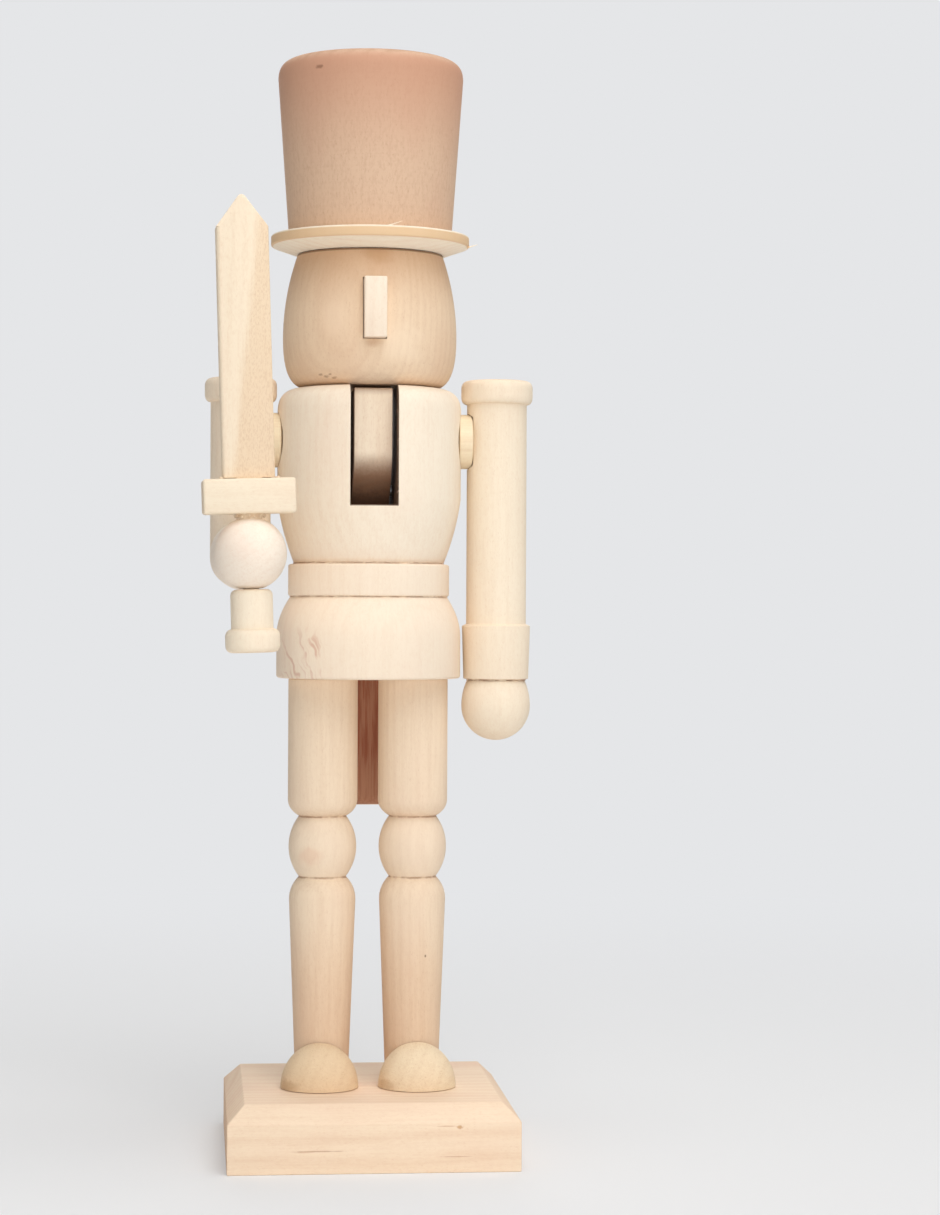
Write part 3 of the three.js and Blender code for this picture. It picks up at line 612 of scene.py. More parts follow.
# %% Saw the base
BASE_CHAMFER = 3.6
BASE_EDGE = 0.25
BASE_FIBRES = 26

low, high = corners("base")
base = block(low, high)
upper = [edge for edge in base.edges if all(vert.co.z > high.z * MM * 0.9 for vert in edge.verts)]
soften(base, BASE_CHAMFER, upper, 1)
soften(base, BASE_EDGE)
for _ in range(BASE_FIBRES):
    root = Vector((chance.uniform(low.x, high.x), low.y + 0.2, chance.uniform(0.15, 0.35)))
    reach = Vector((chance.uniform(-0.9, 0.9), chance.uniform(-0.6, -0.25), 0))
    splinter(base, root, root + reach, chance.uniform(0.06, 0.12))

wood = Wood(
    "base_wood", "base", (249, 225, 197), (221, 176, 140), grain="X", pith=(30, 22), ring=2.4, rings=0.26,
    fibres=0.5, pores=0.16, clouds=0.3, blush=(238, 200, 174), ends=0.45, bump=0.4,
)
wood.stain((17.3, low.y, 9.3), (0.85, 2, 0.5), (200, 146, 90), 0.7, 1.1, 2)
for streak_x, streak_z, half_length, half_width, shade, share, ragged in (
    (14.6, 9.5, 2.6, 0.2, (206, 156, 112), 0.5, 0.5),
    (-11.6, 4.7, 7, 0.16, (190, 138, 100), 0.6, 0.8),
    (-14.6, 4.5, 2.6, 0.12, (200, 150, 112), 0.45, 0.5),
    (16.6, 3.3, 4.2, 0.17, (202, 150, 112), 0.5, 0.5),
):
    wood.stain((streak_x, low.y, streak_z), (half_length, 2, half_width), shade, share, ragged)
place_wood("sawn_base", base, wood)

# %% [markdown]
# ## Legs
# Each leg is one turning: thigh, knee bead and tapering shin, with a sharp groove above and below the knee,
# where the tool rubbed and browned the wood. A ring in the finish browns it, as burn and as painted shade in
# the groove, since the groove itself is only a line. The knee and the top of the shin are the palest, and
# the shin darkens towards the ankle as painted shade.

# %% Burnt lines and painted groove shade
# One brown for tool burn and for painted shade in a groove.
GROOVE_BURN_AND_SHADE = (164, 116, 82)


def groove_line(wood, height, half_width, share):
    """Browns a thin ring round a turned piece at a height, broken up by noise: burn and painted groove
    shade.
    """
    ragged = wood.speckle((0.9, 0.9, 0.3), 3)
    distance = (wood.part("Z") - height + (ragged - 0.5) * 0.3).sum("ABSOLUTE")
    broken = wood.step(wood.speckle((0.4, 0.4, 0.1)), 0.34, 0.58)
    wood.lay((1 - wood.step(distance, half_width * 0.3, half_width)) * broken * share, GROOVE_BURN_AND_SHADE)


print("burnt brown is", GROOVE_BURN_AND_SHADE)

# %% Turn the legs
SHIN_LENGTH = 43.8
KNEE_LENGTH = 12.9
ANKLE_RADIUS = 5.6
CALF_RADIUS = 7.25
KNEE_RADIUS = 7.2
THIGH_RADIUS = 7.4
GROOVE_RADIUS = 5
CALF_ROUND = 5.1
CALF_CORNER = 2.2
KNEE_CORNER = 2.9
THIGH_ROUND = 3.6
THIGH_CORNER = 1.3
PALEST = (252, 236, 214)

knee_top = SHIN_LENGTH + KNEE_LENGTH
knee_ring = (KNEE_RADIUS, SHIN_LENGTH + KNEE_LENGTH / 2)


def shin_side(height):
    """A point on the tapering side of the shin."""
    return (ANKLE_RADIUS + (CALF_RADIUS - ANKLE_RADIUS) * height / SHIN_LENGTH, height)


def leg_outline(length):
    low, high = (GROOVE_RADIUS, SHIN_LENGTH), (GROOVE_RADIUS, knee_top)
    return [
        (ANKLE_RADIUS, 0, EASE),
        *swell(shin_side(SHIN_LENGTH - CALF_ROUND), shin_side(SHIN_LENGTH - CALF_CORNER), low),
        *swell(low, (KNEE_RADIUS, SHIN_LENGTH + KNEE_CORNER), knee_ring)[1:],
        *swell(knee_ring, (KNEE_RADIUS, knee_top - KNEE_CORNER), high)[1:],
        *swell(high, (THIGH_RADIUS, knee_top + THIGH_CORNER), (THIGH_RADIUS, knee_top + THIGH_ROUND))[1:],
        (THIGH_RADIUS, length, EASE),
    ]


for side, pith in (("left", (-34, 26)), ("right", (-22, -30))):
    low, high = corners(side + "_leg")
    middle = (low + high) / 2
    wood = Wood(
        side + "_leg_wood", side + "_leg", (244, 220, 191), (206, 164, 126), pith=pith, ring=1.9, rings=0.16,
        fibres=0.55, pores=0.2, clouds=0.3, blush=(236, 200, 172),
    )
    knee_low, knee_high = low.z + SHIN_LENGTH, low.z + knee_top
    # Painted shade: the shin darkens towards the ankle.
    wood.lay((1 - wood.rise("Z", knee_low - 30, knee_low)) * 0.28, (208, 162, 128))
    wood.lay(wood.window("Z", knee_low - 14, knee_low, 8) * 0.2, PALEST)
    wood.lay(wood.window("Z", knee_low, knee_high, 0.6) * 0.35, PALEST)
    wood.lay(wood.rise("Z", knee_high, knee_high + 1) * 0.2, PALEST)
    for height in (knee_low, knee_high):
        groove_line(wood, height, 0.32, 0.55)
    if side == "left":
        wood.stain((middle.x + 2.4, middle.y - 6.2, 41.3), (0.3, 2, 0.42), (128, 92, 66), 0.8)
    else:
        knee_mark = (middle.x - 3, middle.y - 6.5, 62.5)
        wood.stain(knee_mark, (3.6, 5, 2.8), (230, 184, 154), 0.35, 0.9, 0.4)
    leg = move(turned(leg_outline(high.z - low.z)), (middle.x, middle.y, low.z))
    place_wood(side + "_turned_leg", leg, wood)

# %% [markdown]
# ## Feet
# The feet are half balls in front of the legs. A ball is sawn flat below and behind, and hollowed with
# a drill to sit against the shin. The soldier's right foot is a little browner.

# %% Saw the feet
FOOT_REACH = 6.4
FOOT_HEEL = 1.5
NOTCH_RADIUS = 6.25
FOOT_SHADES = {"left": (245, 224, 192), "right": (237, 211, 176)}


def half_ball(low, high, leg_x):
    """A ball sawn off below and behind, with a hollow for the leg."""
    ball = bmesh.new()
    bmesh.ops.create_uvsphere(ball, u_segments=72, v_segments=48, radius=MM)
    middle = Vector(((low.x + high.x) / 2, axis_y - FOOT_REACH, low.z))
    reach = Vector(((high.x - low.x) / 2, middle.y - low.y, high.z - low.z))
    bmesh.ops.scale(ball, verts=ball.verts, vec=reach)
    move(ball, middle)
    slice_off(ball, middle, (0, 0, -1))
    slice_off(ball, middle + Vector((0, FOOT_HEEL, 0)), (0, 1, 0))
    return cut(ball, [drill(NOTCH_RADIUS, THROUGH, (leg_x, axis_y, low.z), 0)])


for side in ("left", "right"):
    low, high = corners(side + "_foot")
    foot = half_ball(low, high, middle_of(side + "_leg").x)
    wood = Wood(
        side + "_foot_wood", side + "_foot", FOOT_SHADES[side], (204, 162, 118), grain="Y", pith=(16, 9),
        ring=2.6, rings=0.12, fibres=0.35, pores=0.3, blush=(228, 194, 158), ends=0.1,
    )
    # Painted shadow at the foot's lower left, where it meets the base.
    foot_contact_shade = (low.x + 1.6, low.y + 4, low.z + 1)
    wood.stain(foot_contact_shade, (2.6, 6, 1.6), (184, 142, 96), 0.38, 0.9, 0.7)
    place_wood(side + "_half_ball_foot", foot, wood)

# %% [markdown]
# ## The coat
# Skirt, belt and chest are one turning, and two narrow parting cuts mark off the belt. One outline with two
# small notches gives all of them, so that nothing has to be joined.

# %% Turn the coat
SKIRT_RADIUS = 19.6
SKIRT_WALL = 8.8
SKIRT_HEIGHT = 17.1
SKIRT_TOP_RADIUS = 16.8
SKIRT_EASE = 0.6
BELT_RADIUS = 17.15
BELT_HEIGHT = 6.6
BELT_EASE = 0.5
PARTING_WIDTH = 0.4
PARTING_DEPTH = 0.28
WAIST_RADIUS = 16
CHEST_RADIUS = 19.55
CHEST_TAPER = 13.5
SHOULDER_ROUND = 4.9

torso_low, torso_high = corners("torso")
torso_height = torso_high.z - torso_low.z
belt_foot = SKIRT_HEIGHT + PARTING_WIDTH
belt_top = belt_foot + BELT_HEIGHT
chest_foot = belt_top + PARTING_WIDTH
skirt_cut = SKIRT_HEIGHT + PARTING_WIDTH / 2
waist_cut = belt_top + PARTING_WIDTH / 2
skirt_turn = (SKIRT_RADIUS, (SKIRT_WALL + SKIRT_HEIGHT) / 2)
chest_turn = ((WAIST_RADIUS + 3 * CHEST_RADIUS) / 4, chest_foot + CHEST_TAPER / 2)
coat_outline = [
    (SKIRT_RADIUS, 0, SKIRT_EASE),
    *swell((SKIRT_RADIUS, SKIRT_WALL), skirt_turn, (SKIRT_TOP_RADIUS, SKIRT_HEIGHT)),
    (SKIRT_TOP_RADIUS - PARTING_DEPTH, skirt_cut),
    (BELT_RADIUS, belt_foot, BELT_EASE),
    (BELT_RADIUS, belt_top, BELT_EASE),
    (WAIST_RADIUS - PARTING_DEPTH, waist_cut),
    *swell((WAIST_RADIUS, chest_foot), chest_turn, (CHEST_RADIUS, chest_foot + CHEST_TAPER)),
    *top_round(CHEST_RADIUS, torso_height, SHOULDER_ROUND),
]
coat = move(turned(coat_outline, BODY_STEPS), (axis_x, axis_y, torso_low.z))
print("coat faces before the slot:", len(coat.faces))

# %% [markdown]
# ## Mouth slot and holes
# The mouth slot is sawn through from the front to the back, level at the lip and then falling. A hole takes
# the jaw pin, and a flat seat at each side takes a shoulder spacer. All are cut in one go.

# %% Slot and drill the coat
SLOT_WIDTH = 10
SLOT_DROP = 25.2
SLOT_SILL = 2.5
SLOT_FALL = 0.75
SLOT_FAR = 60
PIN_ROOM = 0.12
PIN_STEPS = 48
SEAT_ROOM = 0.3
SPOT_DEPTH = 1
SEAT_DRILL = 20

sill = torso_high.z - SLOT_DROP
sill_end = axis_y - CHEST_RADIUS + SLOT_SILL
slot_outline = [
    (-SLOT_FAR, sill),
    (sill_end, sill),
    (SLOT_FAR, sill - SLOT_FALL * (SLOT_FAR - sill_end)),
    (SLOT_FAR, torso_high.z + SLOT_FAR),
    (-SLOT_FAR, torso_high.z + SLOT_FAR),
]
pin_low, pin_high = corners("jaw_pin")
pin_middle = (pin_low + pin_high) / 2
pin_radius = (pin_high.z - pin_low.z) / 2
spacer_low, spacer_high = corners("left_shoulder_spacer")
spacer_radius = (spacer_high.z - spacer_low.z) / 2
shoulder_z = (spacer_low.z + spacer_high.z) / 2
seat_x = CHEST_RADIUS - SPOT_DEPTH + SEAT_DRILL / 2
pin_drill = drill(pin_radius + PIN_ROOM, THROUGH, pin_middle, facets=PIN_STEPS)
coat_tools = [sawn(slot_outline, SLOT_WIDTH), pin_drill]
for seat in (seat_x, -seat_x):
    coat_tools.append(drill(spacer_radius + SEAT_ROOM, SEAT_DRILL, (seat, axis_y, shoulder_z)))
coat = cut(coat, coat_tools)
print("coat faces after it:", len(coat.faces))

# %% [markdown]
# ## The coat's surface
# Torn fibres lie in the parting cuts and hang over one edge of the slot, whose walls are laid dark brown
# as painted shade.
# A blade left slanting scratches on the skirt: noise stretched along a bent line, inside a soft window.

# %% Tear its fibres and finish it
EDGE_FRONT = axis_y - math.sqrt(CHEST_RADIUS ** 2 - (SLOT_WIDTH / 2) ** 2)
RING_FIBRES = 110
FIBRE_LENGTH = 2.6
SLOT_FIBRES = 34
SCRATCH_X = (-18.4, -11)
SCRATCH_Y = (-22, -4)
SCRATCH_Z = (99.5, 109.5)
SCRATCH_BEND = 112

torn_ring(coat, axis_x, SKIRT_TOP_RADIUS, torso_low.z + skirt_cut, RING_FIBRES, FIBRE_LENGTH)
torn_ring(coat, axis_x, WAIST_RADIUS + 0.1, torso_low.z + waist_cut, RING_FIBRES, FIBRE_LENGTH)
for _ in range(SLOT_FIBRES):
    height = chance.uniform(sill + 1, torso_high.z - SHOULDER_ROUND)
    root = Vector((SLOT_WIDTH / 2 + 0.1, EDGE_FRONT + chance.uniform(0.1, 0.5), height))
    reach = Vector((-chance.uniform(0.25, 0.6), chance.uniform(-0.25, 0), chance.uniform(-0.8, 0.2)))
    splinter(coat, root, root + reach, chance.uniform(0.06, 0.12))

wood = Wood(
    "coat_wood", "torso", (252, 238, 217), (226, 190, 158), pith=(-38, 52), ring=2.4, fibres=0.34,
    pores=0.14, clouds=0.2, blush=(242, 206, 184),
)
belt_line = torso_low.z + belt_top
wood.lay((1 - wood.rise("Z", belt_line - 0.5, belt_line + 6)) * 0.22, (240, 210, 182))
# The parting cuts get tool burn and painted groove shade.
for line in (skirt_cut, waist_cut):
    groove_line(wood, torso_low.z + line, 0.26, 0.4)
# Painted shade: the inside of the slot is laid dark brown.
in_slot = wood.window("X", -SLOT_WIDTH / 2 - 0.03, SLOT_WIDTH / 2 + 0.03, 0.02)
wood.lay(in_slot * wood.rise("Z", sill - 0.3, sill - 0.1) * 0.85, (104, 72, 54))
bend = (wood.part("Z") - SCRATCH_BEND) ** 2 * 0.014
slant = wood.part("X") + 0.12 * wood.part("Z") - bend + wood.speckle((0.3, 0.3, 0.3), 1) * 3
scratch_place = wood.node("ShaderNodeCombineXYZ", None, {"X": slant * 0.9, "Z": wood.part("Z") * 0.05})
patches = wood.step(wood.speckle((0.4, 0.4, 0.25)), 0.37, 0.53)
scratches = wood.step(wood.noise(scratch_place, 4), 0.47, 0.61) * patches
scratched = wood.window("X", *SCRATCH_X, 1.4) * wood.window("Z", *SCRATCH_Z, 2.2)
scratched = scratched * wood.window("Y", *SCRATCH_Y) * scratches
wood.lay(scratched * 0.6, (210, 154, 128))
wood.relief = wood.relief - scratched * 0.8
place_wood("slotted_coat", coat, wood)

# %% [markdown]
# ## The jaw lever
# The lever is sawn from a board: an upright jaw in the slot, a slanting middle on the pin, and a tail down
# the soldier's back that a hand presses. One outline is cut through the board, as a band saw does, and the
# long edges are only broken with sandpaper.

# %% Saw the lever
LEVER_DEPTH = 12
LEVER_FALL = 0.77
JAW_FACE = 13.5
JAW_DEPTH = 14
CHIN_ROUND = 4.6
CHIN_DROP = 6.2
THROAT_ROUND = 4
TAIL_DEPTH = 7.5
TAIL_BEND = 12
TAIL_ROUND = 2.4
JAW_EDGE = 0.8
BROKEN_EDGE = 0.2
PIN_PLAY = 0.09

lever_low, lever_high = corners("jaw_lever")
jaw_front, jaw_top, tail_back, tail_end = lever_low.y, lever_high.z, lever_high.y, lever_low.z
jaw_back = jaw_front + JAW_DEPTH
tail_front = tail_back - TAIL_DEPTH
face_foot = jaw_top - JAW_FACE
chin_back = jaw_front + CHIN_ROUND
chin_foot = face_foot - CHIN_DROP
throat = jaw_back + THROAT_ROUND


def under(y):
    """Height of the lever's slanting underside."""
    return chin_foot - LEVER_FALL * (y - chin_back)


def over(y):
    """Height of the lever's slanting upper side."""
    return under(y) + LEVER_DEPTH * math.hypot(1, LEVER_FALL)


front_bend, back_bend = tail_front - TAIL_BEND, tail_back - TAIL_BEND
front_knee, back_knee = (tail_front, under(tail_front)), (tail_back, over(tail_back))
lever_outline = [
    (jaw_front, jaw_top, JAW_EDGE),
    *swell((jaw_front, face_foot), (jaw_front, under(jaw_front)), (chin_back, chin_foot)),
    *swell((front_bend, under(front_bend)), front_knee, (tail_front, under(tail_front) - TAIL_BEND)),
    (tail_front, tail_end, TAIL_ROUND),
    (tail_back, tail_end, TAIL_ROUND),
    *swell((tail_back, over(tail_back) - TAIL_BEND), back_knee, (back_bend, over(back_bend))),
    *swell((throat, over(throat)), (jaw_back, over(jaw_back)), (jaw_back, over(jaw_back) + THROAT_ROUND)),
    (jaw_back, jaw_top, JAW_EDGE),
]
lever = sawn(lever_outline, lever_high.x - lever_low.x)
flat_edges = [edge for edge in lever.edges if abs(edge.verts[0].co.x - edge.verts[1].co.x) < 0.1 * MM]
soften(lever, BROKEN_EDGE, flat_edges)
lever = cut(lever, [drill(pin_radius + PIN_PLAY, THROUGH, pin_middle, facets=PIN_STEPS)])
print("lever faces:", len(lever.faces))

# %% [markdown]
# ## The lever's surface
# The jaw's face is sanded clean. Painted shade browns it at the top, under the head, and towards the chin,
# where it is nearly black. Painted shade darkens its sides, and the front of the tail between the legs is
# painted red brown, as shade with a painted red cast, with darker streaks. Places and the way the surface
# faces say which shade is laid where.

# %% Finish the lever
TAIL_TONE = (102, 118)

wood = Wood(
    "lever_wood", "jaw_lever", (255, 237, 211), (214, 168, 132), pith=(16, 40), ring=2.2, rings=0.24,
    fibres=0.5, pores=0.2,
)
sides = wood.step(wood.facing("X").sum("ABSOLUTE"), 0.5, 0.9)
front = wood.step(wood.facing("Y") * -1, 0.2, 0.5)
tail = front * (1 - wood.rise("Z", *TAIL_TONE))
streaks = wood.step(wood.fibre, 0.4, 0.62)
shade_height = wood.part("Z") + (wood.fibre - 0.5) * 2.4
# Painted shade on the lever's sides.
wood.lay(sides * 0.5, (150, 108, 82))
# Painted shade: the jaw's face darkens towards the chin, nearly black below it.
wood.lay(front * (1 - wood.step(shade_height, chin_foot + 0.8, face_foot + 0.6)) * 0.8, (152, 100, 66))
wood.lay(front * (1 - wood.step(shade_height, chin_foot - 4.4, chin_foot + 2.2)) * 0.85, (66, 45, 36))
# Painted shadow of the head at the top of the jaw's face.
wood.lay(wood.rise("Z", jaw_top - 1.8, jaw_top) * 0.5, (150, 106, 76))
# Painted shade with a painted red cast on the front of the tail, less towards its end.
wood.lay(tail * 0.9, (204, 156, 126))
end_paler = 0.55 + 0.45 * wood.rise("Z", tail_end, tail_end + 14)
wood.lay(tail * (0.5 + streaks * 0.4) * end_paler, (146, 80, 58))
place_wood("sawn_jaw_lever", lever, wood, "jaw")

# %% [markdown]
# ## The pin
# The lever turns on a short steel pin, which shows only as a grey spot at the bottom of its hole. It is
# turned like the wood, with both ends eased.

# %% Turn the pin


def peg(node, ease, steps=LIMB_STEPS):
    """A rod along X with eased ends, as large as a CAD node."""
    low, high = corners(node)
    radius, length = (high.z - low.z) / 2, high.x - low.x
    rod = turned([(radius, 0, ease), (radius, length, ease)], steps)
    return move(rod, (low.x, (low.y + high.y) / 2, (low.z + high.z) / 2), math.pi / 2, "Y")


def speckled(name, scales, detail, shades, roughness, extra):
    """A plain finish, with noise between two shades and from one roughness up."""
    finish = Finish(name)
    spots = finish.speckle(scales, detail)
    tone = finish.mix(spots, colour(*shades[0]), colour(*shades[1]))
    sockets = {"Base Color": tone, "Roughness": roughness[0] + spots * roughness[1], **extra}
    return finish.finish(finish.node("ShaderNodeBsdfPrincipled", None, sockets))


steel_shades = (150, 151, 153), (196, 197, 199)
steel_finish = speckled("drawn_steel", (0.3, 9, 9), 3, steel_shades, (0.25, 0.25), {"Metallic": 1})
place_piece("steel_jaw_pin", peg("jaw_pin", EASE, PIN_STEPS), steel_finish, ["jaw_pin"])

# %% [markdown]
# ## Head and nose
# The head is a barrel, widest below its middle. Its pith lies outside it, in front of the viewer's left
# cheek, and leans a little, so the swell cuts the rings as faint ovals there. A block cuts the mortise for
# the nose.

# %% Turn the head
CHIN_RADIUS = 13.6
CHEEK_RADIUS = 18.5
CHEEK_HEIGHT = 10.5
BROW_RADIUS = 15.5
MORTISE_ROOM = Vector((0.15, 0.15, 0.15))

head_low, head_high = corners("head")
head_height = head_high.z - head_low.z
nose_low, nose_high = corners("nose")
nose_middle = (nose_low + nose_high) / 2
cheek, brow_turn = (CHEEK_RADIUS, CHEEK_HEIGHT), (CHEEK_RADIUS, (CHEEK_HEIGHT + head_height) / 2)
head_outline = [
    *swell((CHIN_RADIUS, 0), (CHEEK_RADIUS, 0), cheek),
    *swell(cheek, brow_turn, (BROW_RADIUS, head_height))[1:],
]
head = move(turned(head_outline, BODY_STEPS), (axis_x, axis_y, head_low.z))
head = cut(head, [block(nose_low - MORTISE_ROOM, nose_high + MORTISE_ROOM)])
print("head faces:", len(head.faces))

# %% [markdown]
# ## The face
# The nose is a chip of paler wood, glued into the front. Glue darkened the wood round it, and a few soft
# smears and specks mark the face. Each of them is a stain: a soft spot with an edge broken up by noise.

# %% Finish the head and let in the nose
NOSE_EDGE = 0.3

wood = Wood(
    "head_wood", "head", (240, 213, 182), (204, 160, 124), pith=(-27, -54), lean=(0.0795, -0.04), rings=0.15,
    fibres=0.32, pores=0.24, clouds=0.35, blush=(224, 184, 152),
)
for smear_x, smear_up, reach, shade, share in (
    (nose_middle.x + 1, 28, (4.5, 8, 4.5), (192, 144, 98), 0.4),
    (nose_middle.x - 0.4, 8.4, (2.4, 8, 1.8), (198, 152, 112), 0.4),
    (nose_middle.x + 5.5, 8.5, (5.5, 9, 6), (252, 229, 200), 0.45),
    (-8.5, 13.5, (3.6, 9, 5), (248, 220, 190), 0.35),
):
    wood.stain((smear_x, axis_y - 16, head_low.z + smear_up), reach, shade, share, 0.8, 0.3)
halo = ((nose_high.x - nose_low.x) / 2 + 1.1, 6, (nose_high.z - nose_low.z) / 2 + 1.3)
wood.stain((nose_middle.x, nose_low.y, nose_middle.z), halo, (214, 170, 130), 0.35)
for speck_x, speck_up, size in ((-11, 1.9, 0.35), (-9.9, 1.5, 0.4), (-9.1, 1.9, 0.25), (-8.2, 1.2, 0.35)):
    speck = (speck_x, axis_y - 15, head_low.z + speck_up)
    wood.stain(speck, (size * 1.8, 6, size), (150, 106, 76), 0.5, 1, 2)
# Painted shadow of the brim: the upper half of the head is darker.
wood.lay(wood.rise("Z", head_low.z + 14, head_high.z) * 0.5, (200, 150, 106))
# Painted shadow: a thin dark line in the crease under the brim.
wood.lay(wood.rise("Z", head_high.z - 0.5, head_high.z - 0.25) * 0.7, (110, 75, 50))
place_wood("turned_head", head, wood)

nose = soften(block(nose_low, nose_high), NOSE_EDGE)
wood = Wood("nose_wood", "nose", (252, 236, 215), (226, 190, 156), pith=(30, 22), rings=0.08)
place_wood("let_in_nose", nose, wood)

# %% [markdown]
# ## The brim
# The brim is a thin disc, sawn from a board, with a bevel below. Its wood is paler than the others, as
# painted light on its underside. Its rim was left as the saw cut it, so it is browner than the sanded corner
# above it, which is also left pale as a painted highlight. Two pale fibres stand off it. Its finish goes by
# the distance from the axis.

# %% Turn the brim
BRIM_SEAT_RADIUS = 15.7
BRIM_EDGE = 2.1
BRIM_EASE = 0.35

low, high = corners("hat_brim")
radius = (high.x - low.x) / 2
height = high.z - low.z
brim_outline = [
    (BRIM_SEAT_RADIUS, 0, EASE),
    (radius, height - BRIM_EDGE, BRIM_EASE),
    (radius, height, BRIM_EASE),
]
brim = move(turned(brim_outline, BODY_STEPS), (axis_x, axis_y, low.z))
splinter(brim, (20.2, -3.6, low.z + 1.6), (22.6, -4.6, low.z + 2.2), 0.24)
splinter(brim, (2.4, -20.6, high.z - 0.2), (5.4, -20.3, high.z + 0.9), 0.2)
# Painted light: the pale tone is raised to lighten the underside.
wood = Wood(
    "brim_wood", "hat_brim", (255, 244, 224), (230, 192, 152), grain="X", pith=(0, 26), ring=2.4, rings=0.2,
    fibres=0.35, clouds=0.12,
)
across = wood.vector("SUBTRACT", wood.millimetres, (axis_x, axis_y, 0))
across = wood.length(wood.vector("MULTIPLY", across, (1, 1, 0)))
sawn_rim = wood.step(across, radius - 0.55, radius - 0.2)
stray_fibre = wood.step(across, radius + 0.05, radius + 0.2)
# The top corner keeps the pale wood: sanded, and also a painted highlight.
pale_top_corner = wood.rise("Z", high.z - 0.5, high.z - 0.25)
wood.lay((sawn_rim - stray_fibre) * (1 - pale_top_corner * 0.9) * 0.85, (232, 194, 148))
place_wood("turned_brim", brim, wood)

# %% [markdown]
# ## The crown
# The crown is turned, a little wider at the top, from a pinkish brown piece of wood with many fine pores and
# one small dark spot. A painted shade with a painted pink reflection grows upwards over its side, and the
# flat top shows the rings of its end grain instead.

# %% Turn the crown
CROWN_FOOT_RADIUS = 17.35
CROWN_ROUND = 3.8

low, high = corners("hat_crown")
radius = (high.x - low.x) / 2
height = high.z - low.z
crown_outline = [(CROWN_FOOT_RADIUS, 0, EASE), *top_round(radius, height, CROWN_ROUND)]
crown = move(turned(crown_outline, BODY_STEPS), (axis_x, axis_y, low.z))
wood = Wood(
    "crown_wood", "hat_crown", (224, 191, 162), (186, 140, 112), pith=(-44, 60), ring=2.6, rings=0.06,
    pores=0.3, fuzz=0.85, clouds=0.3, blush=(216, 172, 146), ends=0.2,
)
ripple_place = wood.node("ShaderNodeCombineXYZ", None, {"Z": wood.part("Z") * 1.7})
wood.lay(wood.step(wood.noise(ripple_place, 3), 0.42, 0.66) * 0.05, (190, 144, 116))
top_face = wood.step(wood.facing("Z"), 0.25, 0.9)
# Painted shade with a painted pink reflection, growing upwards on the side.
top_shade_and_pink_cast = wood.rise("Z", low.z + 10, high.z) * (1 - top_face * 0.8)
wood.lay(top_shade_and_pink_cast * 0.8, (204, 150, 122))
wood.lay(top_face * wood.late * 0.45, (178, 132, 102))
wood.stain((-11.5, axis_y - 15.1, high.z - 3.9), (1.05, 3, 0.6), (128, 84, 60), 0.6, 0.9, 1.6)
place_wood("turned_crown", crown, wood)

# %% [markdown]
# ## Arms
# Both arms are turned: a rounded cap, a plain sleeve, a cuff that narrows a little towards the hand, and
# a ball hand behind a parting cut. They share the outlines of the hand and the cap.

# %% Outline the arms
SLEEVE_RADIUS = 6.4
CAP_RADIUS = 7.65
CAP_HEIGHT = 5.1
CAP_ROUND = 1.8
CUFF_RADIUS = 7.3
CUFF_FOOT_RADIUS = 6.95
CUFF_LENGTH = 11.7
CUFF_EASE = 0.25
WRIST_RADIUS = 6.2
WRIST_GROOVE = 0.4
HAND_RADIUS = 7.35
HAND_NECK = 5.8
ARM_RISE = 13.1


def hand_outline(height):
    """Cuff and ball hand from the hand's pole up, with the cuff's lower end at height."""
    palm = height - HAND_NECK
    wrist = (WRIST_RADIUS, height - WRIST_GROOVE)
    return [
        *quarter_round(HAND_RADIUS, 0, palm),
        *swell((HAND_RADIUS, palm), (HAND_RADIUS, (palm + height) / 2), wrist)[1:],
        (WRIST_RADIUS - 0.3, height - WRIST_GROOVE / 2),
        (CUFF_FOOT_RADIUS, height, CUFF_EASE),
        (CUFF_RADIUS, height + CUFF_LENGTH - 0.4, CUFF_EASE),
        (SLEEVE_RADIUS, height + CUFF_LENGTH, 0.2),
    ]


def cap_outline():
    """The rounded shoulder cap, from the sleeve up."""
    foot = ARM_RISE - CAP_HEIGHT
    return [
        *swell((SLEEVE_RADIUS, foot), (CAP_RADIUS, foot), (CAP_RADIUS, foot + CAP_ROUND)),
        *top_round(CAP_RADIUS, ARM_RISE, CAP_ROUND),
    ]


def shoulder_seat(outward):
    """The flat seat that a spacer sits in, as a drill."""
    inner = -outward * (SLEEVE_RADIUS - SPOT_DEPTH + SEAT_DRILL / 2)
    return drill(spacer_radius + SEAT_ROOM, SEAT_DRILL, (inner, 0, 0))


print("points of a hand and a cap:", len(hand_outline(0)), len(cap_outline()))

# %% [markdown]
# ## The straight arm
# The soldier's left arm hangs straight, in one piece. A seat for the shoulder spacer is drilled into its
# inner side, and torn fibres lie in the cut at the wrist.

# %% Turn the straight arm
ARM_REACH = 50.6
WRIST_FIBRES = 40

arm_x = middle_of("left_arm").x
wrist_z = shoulder_z - ARM_REACH - WRIST_GROOVE / 2
arm = cut(turned([*hand_outline(-ARM_REACH), *cap_outline()]), [shoulder_seat(1)])
move(arm, (arm_x, axis_y, shoulder_z))
torn_ring(arm, arm_x, WRIST_RADIUS + 0.25, wrist_z, WRIST_FIBRES, 2.2)
wood = Wood(
    "arm_wood", "left_arm", (248, 232, 208), (222, 186, 152), pith=(50, 40), ring=2.2, rings=0.06, pores=0.2,
    clouds=0.2, blush=(244, 212, 184),
)
# The wrist cut gets tool burn and painted groove shade.
groove_line(wood, wrist_z, 0.32, 0.6)
place_wood("turned_left_arm", arm, wood, "left_arm")

# %% [markdown]
# ## The bent arm
# The right arm is sawn through at 45 degrees below the shoulder, and its forearm is glued on to point at
# the viewer, turned by 2.4 degrees. Both pieces are turned too long, cut along the mitre and then put in
# place. The ball hand has a flat above and below for the sword, which leans by 1.8 degrees.

